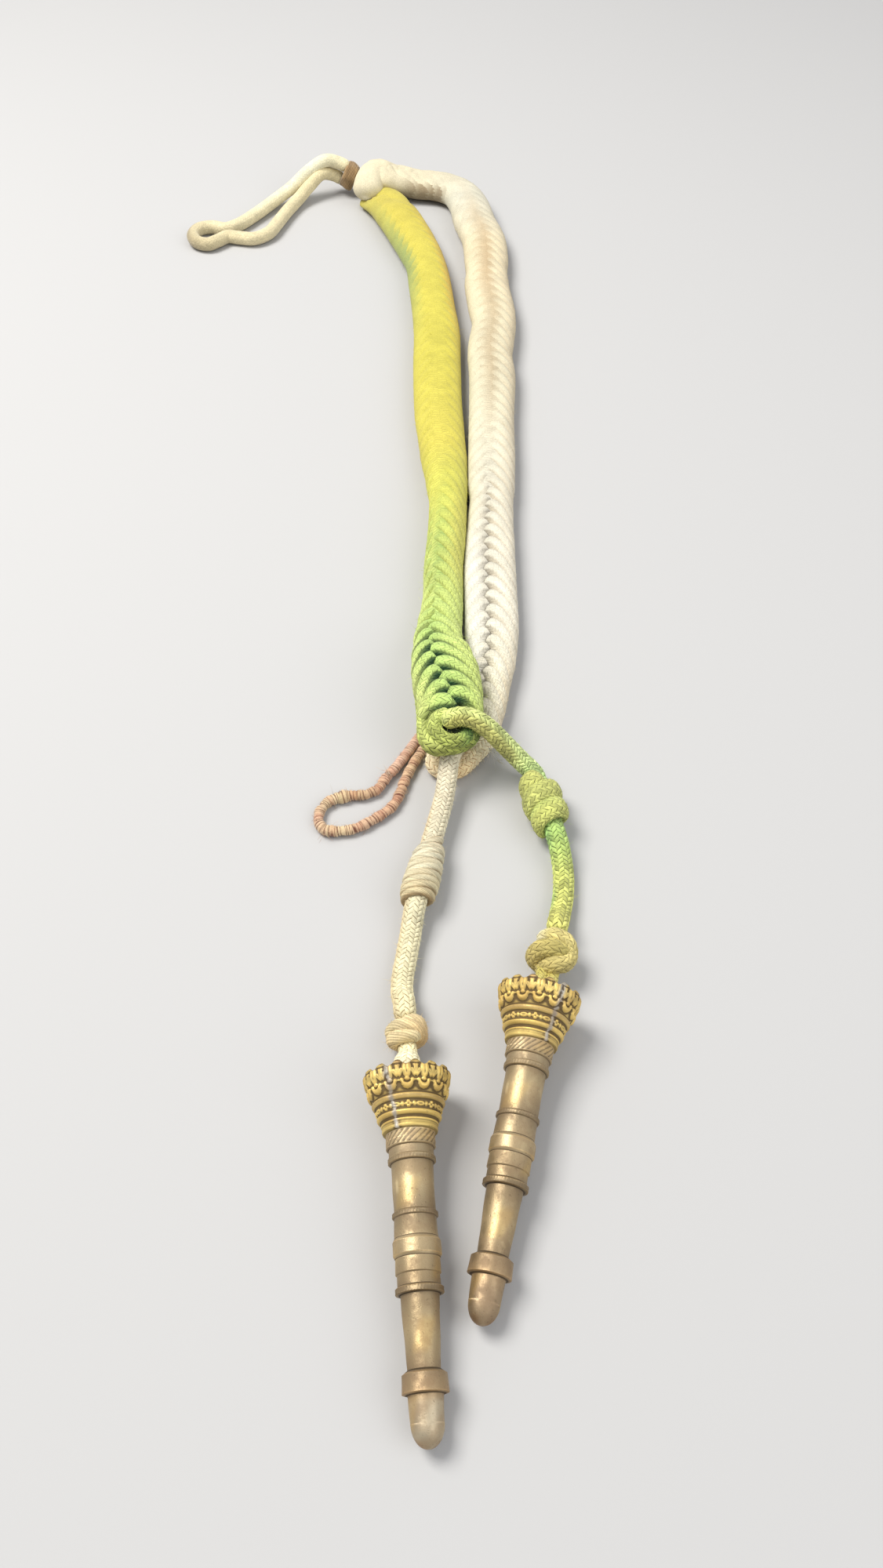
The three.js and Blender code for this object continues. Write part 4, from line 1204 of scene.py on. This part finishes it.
threadLying = 1.15  # middle of the thread loop where it lies on the surface
threadRoute = [
    (28.6, -61.4, 1.6), (25.9, -65.2, threadLying), (24.1, -68.6, 1.4), (22.5, -71.4, 1.4),
    (20.7, -74.2, threadLying), (18.7, -77.0, threadLying), (17.0, -80.2, threadLying),
    (14.1, -81.9, threadLying), (10.2, -82.3, threadLying), (6.3, -83.7, threadLying),
    (4.2, -86.4, threadLying), (3.9, -89.5, threadLying), (5.4, -91.9, threadLying),
    (8.8, -92.3, threadLying), (12.6, -91.4, threadLying), (16.3, -89.0, threadLying),
    (19.3, -86.6, threadLying), (21.2, -83.9, threadLying), (22.2, -80.7, threadLying),
    (23.5, -76.6, threadLying), (25.0, -72.8, threadLying), (26.6, -69.6, threadLying),
    (28.8, -66.2, threadLying), (31.2, -62.2, 1.6),
]
threadLoop = {
    "diameter": 2.3,
    "thread": 0.68,
    "smoothTo": 16,  # mm along, up to which the core is nearly bare
    "lumps": [(31, 1.6, 0.35), (44, 1.2, 0.2)],  # mm along, width, height
    "around": 18,
    "step": 0.14,
}


def buildThreadLoop(lay):
    # a core wound with thread: the radius rises on each turn of thread, and less on the bare first run
    route, places = evenRoute(threadRoute, lay["step"])
    side, up = sideOf(route, upward)
    share = np.arange(lay["around"])[None, :] / lay["around"]
    s = places[:, None]
    wander = 0.45 * np.sin(s * 0.9) + 0.35 * np.sin(s * 2.3 + 1) + 0.2 * np.sin(s * 5.1)
    turns = s / lay["thread"] + share + wander
    rib = np.abs(np.sin(np.pi * turns)) ** 0.75
    tone = np.mod(np.sin(np.floor(turns) * 12.99) * 437.6, 1)
    wound = 0.3 + 0.7 * smoothstep(lay["smoothTo"] - 3, lay["smoothTo"] + 2, s)
    lump = sum(high * bell(s, place, width) for place, width, high in lay["lumps"])
    r = lay["diameter"] / 2 * (1.06 - 0.26 * (1 - rib) * wound + 0.08 * (tone - 0.5) * wound) + lump
    r = r + 0.08 * np.sin(s * 1.7) * wound
    r = r * roundEnds(places, 1.0)[:, None]
    points = carriedProfile(route, side, up, r, r, lay["around"])
    color = stained(
        colorAlong([
            (0, (216, 178, 154)), (14, (216, 178, 154)), (20, (204, 166, 136)), (29, (190, 160, 118)),
            (33, (212, 194, 152)), (40, (204, 168, 138)), (46, (214, 192, 150)), (52, (208, 172, 140)),
            (62, (196, 156, 124)), (74, (212, 180, 142)), (86, (212, 172, 144))], s + 0 * share),
        (smoothstep(0.5, 1, tone) * 0.3, (232, 204, 168)),
        # painted shade between the turns of thread
        (smoothstep(0.85, 0.25, rib) * (0.5 + 0.45 * wound), (104, 58, 42)),
        (smoothstep(0.4, 1, np.sin(s * 1.1 + 2.0)) * 0.35, (176, 118, 92)))
    return tube(aboveGround(points), places, color, 0.9)


winding = buildThreadLoop(threadLoop)
frays = [tuft((19.6, -77.0, 2.4), (-0.6, 0.7, 0.5), 22, 2.4, 0.4, (222, 196, 170), 43),
         tuft((6.0, -92.0, 1.6), (-0.2, -0.9, 0.1), 26, 3.2, 0.35, (204, 160, 128), 44),
         tuft((22.6, -81.4, 1.4), (0.7, -0.5, 0.3), 12, 1.8, 0.4, (196, 150, 96), 45)]
fuzz = [fuzzOn(winding, 900, 0.5, 27), fuzzOn(winding, 110, 1.1, 28)]
addPiece("thread_loop_winding", [winding] + fuzz + frays, cloth["threadYarn"], "pink_thread", "thread_loop")
print("loops laid")


# Ferrets of stamped and turned brass
def makeBrassWear():
    # tarnish in clouds, fine turning scratches and specks, from noises on Object coordinates
    group = newGroup("brassWear", {"Place": None}, ("Tarnish", "Scratch", "Specks"))
    w = Wiring(group)
    place = w.node("NodeGroupInput").outputs["Place"]
    w.finish(Tarnish=w.range(w.noise(place, 260.0, 6.0, 0.65), 0.42, 0.62),
             Scratch=w.noise(place, 5200.0, 2.0, 0.6),
             Specks=w.range(w.noise(place, 1900.0, 1.0, 0.5), 0.66, 0.74))
    return group


brassWear = makeBrassWear()


def brassMaterial(name, metal, dark, rough, coarse):
    # the dye attribute, tarnished in clouds; dark where the worn attribute is low, with patina and painted
    # shade, bright where high, from rubbing and a painted highlight
    material, w, skin, place, dye, worn = newMaterial(name)
    wear = w.placed(brassWear, Place=place)
    # dark in the hollows: patina and painted shade
    grimeAndShade = w.times(w.range(worn, 0.48, 0.16), 0.9)
    base = w.mix(w.times(wear["Tarnish"], 0.5), dye, w.tinted(dye, (0.55, 0.47, 0.4, 1)))
    base = w.mix(grimeAndShade, base, dark)
    # brighter on raised spots: rubbed brass and a painted highlight
    base = w.mix(w.times(w.range(worn, 0.6, 0.85), 0.5), base, w.tinted(base, (1.5, 1.4, 1.2, 1)))
    base = w.mix(w.times(wear["Specks"], 0.22), base, dark)
    dull = w.times(w.math("MAXIMUM", grimeAndShade, wear["Tarnish"]), 0.35)
    roughness = w.math("MULTIPLY_ADD", wear["Tarnish"], 0.16, rough)
    roughness = w.math("MULTIPLY_ADD", wear["Scratch"], 0.2, roughness)
    w.joinAll(skin.inputs, Base_Color=base, Metallic=w.math("SUBTRACT", metal, dull, clamp=True),
              Roughness=w.math("MULTIPLY_ADD", grimeAndShade, 0.2, roughness))
    w.bump(skin, 0.6, coarse * mm, w.math("MULTIPLY_ADD", wear["Specks"], -0.6, wear["Scratch"]))
    return material


def ring(s, middle, half, high):
    # a half-round ring: high sqrt(1 - ((s - middle) / half)^2)
    return high * np.sqrt(np.clip(1 - ((s - middle) / half) ** 2, 0, 1))


def blob(x, y, reach, high):
    # a round boss over (x, y), flat outside its reach
    return high * np.sqrt(np.clip(1 - (x * x + y * y) / reach**2, 0, 1))


crown = {
    "length": 12.4,
    "fleurons": 14,
    "lobe": 0.55,  # mm that a fleuron stands above the rim and the notch beside it below
    "ovals": 8,
    "around": 308,
    # the outside: (mm as drawn, radius)
    "cone": [(-1.2, 7.75), (0, 7.7), (1.5, 7.55), (4.6, 6.7), (5.3, 6.3), (7.0, 5.95), (8.6, 5.6),
             (10.2, 5.1), (12.4, 4.85)],
    "leafFoot": 2.7,  # mm as drawn, like all the places below
    "leaves": [(0, 2.5), (34, 1.9), (-34, 1.9)],  # degrees that a leaf leans, how far it reaches
    "crescentAt": 3.45,
    "ovalAt": 7.85,
    # (place, half width, height)
    "rings": [(6.2, 0.62, 0.55), (9.4, 0.55, 0.48), (10.75, 0.2, 0.14), (11.9, 0.3, 0.1),
              (10.4, 0.12, -0.15)],
    "wall": 0.75,
    "bore": {"radius": 6.85, "narrowing": 0.36, "depth": 9.0, "floor": 1.5},
    "foot": 3.0,
    "outerRows": 96,
    "innerRows": 12,
    # the relief is drawn on an even cup and then let down on the cone: (mm as drawn, mm from the mouth)
    "letDown": [(-1.2, 0.7), (0, 1.8), (4.8, 6.3), (6.2, 7.4), (7.85, 8.85), (9.4, 10.05), (10.4, 10.9),
                (12.4, 12.6)],
}


def palmette(x, s):
    # three broad leaves that fan out from one foot below the rim
    high = 0 * x
    y = s - crown["leafFoot"]
    for turn, reach in crown["leaves"]:
        c, d = math.cos(math.radians(turn)), math.sin(math.radians(turn))
        out = -y * c + x * d
        off = y * d + x * c
        width = 0.28 + 0.44 * np.clip(out / reach, 0, 1) ** 1.5
        leaf = np.sqrt(np.clip(1 - (off / width) ** 2, 0, 1))
        leaf = leaf * smoothstep(0, 0.4, out) * smoothstep(reach, reach - 0.3, out)
        high = np.maximum(high, 0.42 * leaf - 0.1 * bell(off, 0, 0.1))
    return high


def repeated(angle, count, r):
    # mm round the cup from the middle of the nearest of so many like ornaments, and to its end
    share = angle * count / (2 * np.pi)
    x = (share - np.floor(share) - 0.5) * 2 * np.pi * r / count
    return x, np.pi * r / count - np.abs(x)


def highest(*forms):
    return np.maximum.reduce(forms)


def crownRelief(s, angle):
    # what stands proud of the plain cup, in mm, from the place along it and round it
    r = readOff(crown["cone"], s)
    x, between = repeated(angle, crown["fleurons"], r)
    y = s - crown["crescentAt"]
    away = np.hypot(x, y)
    down = np.clip(y / np.maximum(away, 0.01), 0, 1)
    crescent = 0.6 * np.sqrt(np.clip(1 - ((away - 0.86) / (0.22 + 0.34 * down)) ** 2, 0, 1))
    crescent = crescent * smoothstep(-0.15, 0.1, y)
    bud = blob(x, (s - 1.25) * 0.6, 1.02, 0.58) - 0.16 * bell(x, 0, 0.14) * smoothstep(2.6, 1.8, s)
    rimBead = ring(s, -0.15, 0.34, 0.22)
    fleurons = highest(crescent, blob(np.abs(x) - 0.98, y + 0.12, 0.42, 0.46),
                       blob(x / 1.3, y + 0.35, 0.42, 0.4), bud, palmette(between, s),
                       blob(between, s - 3.35, 0.3, 0.3), rimBead)
    u, edge = repeated(angle, crown["ovals"], r)
    v = s - crown["ovalAt"]
    oval = blob(u / 0.92, v / 0.52, 1.0, 0.34) - blob(u / 0.55, v / 0.2, 1.0, 0.22)
    dots = highest(blob(edge, np.abs(v) - 0.42, 0.36, 0.32), blob(edge - 0.42, v, 0.34, 0.3))
    leaves = blob((edge - 1.1) / 0.42, v / 0.5, 1.0, 0.26)
    relief = fleurons * smoothstep(5.2, 4.8, s) + highest(oval, dots, leaves)
    for row in crown["rings"]:
        relief = relief + ring(s, *row)
    return relief


def cavity(height, rows, columns):
    # how far a spot stands above the mean of its surroundings
    mean = sum(np.roll(height, k, 1) for k in range(-columns, columns + 1)) / (2 * columns + 1)
    padded = np.concatenate([mean[:1]] * rows + [mean] + [mean[-1:]] * rows)
    mean = sum(padded[k:k + len(height)] for k in range(2 * rows + 1)) / (2 * rows + 1)
    return height - mean


def seamAt(kind, s, angle):
    # the soldered joint that wanders down the side of the stamping
    off = np.degrees(angle) - ferrets[kind]["seam"] + 1.2 * np.sin(s * 1.3) + 0.5 * np.sin(s * 3.7)
    return bell(off, 0, 4.4)


def buildCrown(kind):
    angle = np.linspace(0, 2 * np.pi, crown["around"], endpoint=False)[None, :]
    lobes = crown["lobe"] * np.cos(crown["fleurons"] * angle)
    s = np.linspace(0, crown["length"], crown["outerRows"])[:, None] + 0 * angle
    s = s - lobes * smoothstep(3.0, 0.0, s)
    seam = seamAt(kind, s, angle)
    outer = readOff(crown["cone"], s) + crownRelief(s, angle) * (1 - 0.55 * seam)
    outer = outer + seam * (0.15 + 0.04 * np.sin(s * 2.1 + 1) + 0.02 * np.sin(s * 5.3))
    dent = 0.12 * np.sin(2 * angle + 1.3) + 0.07 * np.sin(5 * angle) * smoothstep(6, 0, s)
    outer = outer + dent
    rimTop = -lobes - 0.05
    bore = crown["bore"]
    deep = np.linspace(1, 0, crown["innerRows"])[:, None]
    sInner = rimTop * (1 - deep) + deep * bore["depth"]
    inner = bore["radius"] - (sInner - rimTop) * bore["narrowing"] + dent[:1] * (1 - deep)
    flat = 0 * angle
    allS = np.concatenate([flat + bore["depth"], sInner, rimTop - 0.25, s, flat + crown["length"]])
    allR = np.concatenate([flat + bore["floor"], inner, outer[:1] - crown["wall"] * 0.5, outer,
                           flat + crown["foot"]])
    letDown = readOff(crown["letDown"], allS)
    points = turnedAbout(axisAt(kind, 0), ferretAxis(kind), letDown, allR, angle + 0 * allS)
    inside = np.zeros(allS.shape)
    inside[:crown["innerRows"] + 1] = 1
    joint = np.concatenate([0 * sInner, flat, seam[:1], seam, flat])
    cloud = 0.5 + 0.5 * np.sin(3 * angle + 0.8 * allS + 1.0) * np.cos(2 * angle - 0.5 * allS)
    brown = smoothstep(1.8, -0.4, allS) * (0.5 + 0.5 * np.sin(angle * 4 + 2)) * (1 - inside)
    color = stained(
        linear(222, 196, 118) + 0 * points,
        # painted shade inside the bore
        (inside * 0.7, (90, 74, 40)),
        (np.minimum(joint * 1.3, 1) * 0.85, (176, 178, 180)),
        (bell(allS, 6.2, 0.6) * (1 - inside) * 0.5, (150, 128, 100)),
        (cloud * 0.45, (146, 118, 66)),
        (brown * 0.7, (126, 98, 72)))
    # how far each spot stands above its surroundings, shown as patina with painted shade in the hollows and
    # rubbing with a painted highlight on the rises
    worn = np.clip(0.46 + cavity(outer, 3, 6) / 0.24, 0, 1)
    worn = np.concatenate([0.4 + 0 * sInner, flat + 0.4, flat + 0.7, worn, flat + 0.4])
    addPiece(kind + "_crown_brass", [tube(points, allS.mean(1), color, worn)], crownBrass, "gilt_brass",
             kind + "_crown")


tag = {
    "around": 144,
    "spacing": 0.7,
    "flutes": 24,
    "fluteDepth": 0.17,
    "fluted": (12.7, 15.3),
    "milling": 44,
    "millingDepth": 0.1,
    "milled": [(17.2, 17.9), (26.8, 27.4), (39.2, 40.0)],
    "tip": (59.6, 3.65, 2.78),  # mm from the mouth, how long it is and its radius
    # (mm from the mouth, radius)
    "profile": [
        (12.7, 4.5), (15.3, 4.5), (15.5, 4.05), (16.9, 4.1), (17.2, 4.35), (17.9, 4.35), (18.1, 3.8),
        (26.5, 3.7), (26.8, 4.1), (27.4, 4.1), (27.6, 3.75), (30.9, 3.85), (31.6, 4.2), (33.8, 4.2),
        (34.4, 3.85), (36.8, 3.9), (37.0, 3.65), (38.8, 3.7), (39.2, 4.15), (40.0, 4.15), (40.2, 3.3),
        (51.7, 2.8), (52.4, 3.8), (55.2, 3.95), (55.5, 3.0), (59.6, 2.78),
    ],
    "shades": [
        (12.7, (186, 166, 130)), (16, (168, 150, 118)), (18, (156, 138, 106)), (22, (186, 166, 128)),
        (27, (144, 126, 98)), (32, (180, 160, 124)), (38, (154, 134, 102)), (40, (140, 122, 94)),
        (46, (180, 160, 122)), (52, (150, 130, 100)), (55, (166, 142, 108)), (58, (160, 138, 108)),
        (63.2, (164, 144, 114)),
    ],
}


def buildTag(kind):
    corner = np.array([p[0] for p in tag["profile"]])
    even = np.arange(corner[0], corner[-1], tag["spacing"])
    fluteFrom, fluteTo = tag["fluted"]
    tipFrom, tipLength, tipRadius = tag["tip"]
    rounded = tipFrom + tipLength * np.sin(np.linspace(0, 1.4, 14))
    s = np.unique(np.concatenate([even, np.arange(fluteFrom + 0.1, fluteTo, 0.13), corner,
                                  corner[1:] - 0.05, corner[:-1] + 0.05, rounded]))[:, None]
    angle = np.linspace(0, 2 * np.pi, tag["around"], endpoint=False)[None, :]
    tip = tipRadius * np.sqrt(np.clip(1 - ((s - tipFrom) / tipLength) ** 2, 0, 1))
    r = np.where(s > tipFrom, tip, readOff(tag["profile"], s)) + 0 * angle
    flute = smoothstep(fluteFrom, fluteFrom + 0.3, s) * smoothstep(fluteTo, fluteTo - 0.3, s)
    r = r - tag["fluteDepth"] * flute * (0.5 + 0.5 * np.cos(tag["flutes"] * angle + 6.0 * (s - fluteFrom)))
    for low, high in tag["milled"]:
        band = smoothstep(low - 0.05, low + 0.05, s) * smoothstep(high + 0.05, high - 0.05, s)
        r = r - tag["millingDepth"] * band * (0.5 + 0.5 * np.cos(tag["milling"] * angle + 3.5 * (s - low)))
    # how far each spot stands out, shown as patina with painted shade below and rubbing with a painted
    # highlight above; the tip is held at one value
    worn = np.where(s > tipFrom - 1, 0.58, np.clip(0.55 + cavity(r, 2, 3) / 0.3, 0, 1))
    dent = 0.04 * np.sin(2 * angle + s * 0.2) + 0.03 * np.sin(s * 0.9 + angle)
    points = turnedAbout(axisAt(kind, 0), ferretAxis(kind), s + 0 * angle, r + dent, angle + 0 * s)
    pale = smoothstep(55.4, 57, s) * (0.4 + 0.15 * np.sin(angle * 3 + s)) * (kind == "white")
    # yellow streaks round the tube: partly the brass's own colour, partly painted glints
    goldAndGlint = smoothstep(0.2, 0.9, np.sin(angle * 2 + s * 0.23)) * smoothstep(-0.2, 0.6, np.sin(s * 0.55 + 1))
    rubbed = smoothstep(61.4, 62.6, s) * (0.5 + 0.4 * np.sin(2 * angle + 1))
    # a pale slot at one side, 6 degrees either way
    off = (np.degrees(angle) - 40) / 6
    slot = smoothstep(21.0, 21.3, s) * smoothstep(23.4, 23.1, s) * smoothstep(1.0, 0.7, np.abs(off))
    color = stained(
        colorAlong(tag["shades"], s + 0 * angle),
        (pale, (200, 190, 164)),
        (goldAndGlint * 0.28, (214, 180, 108)),
        (rubbed * 0.7, (146, 106, 66)),
        (slot * 0.7, (226, 206, 160)))
    addPiece(kind + "_tag_brass", [tube(points, s[:, 0], color, worn)], tagBrass, "brown_brass",
             kind + "_tag")


crownBrass = brassMaterial("crownBrass", 0.62, (0.09, 0.055, 0.022, 1), 0.4, 0.05)
tagBrass = brassMaterial("tagBrass", 0.8, (0.06, 0.04, 0.02, 1), 0.36, 0.05)
for kind in ("green", "white"):
    buildCrown(kind)
    buildTag(kind)
print("ferrets turned")
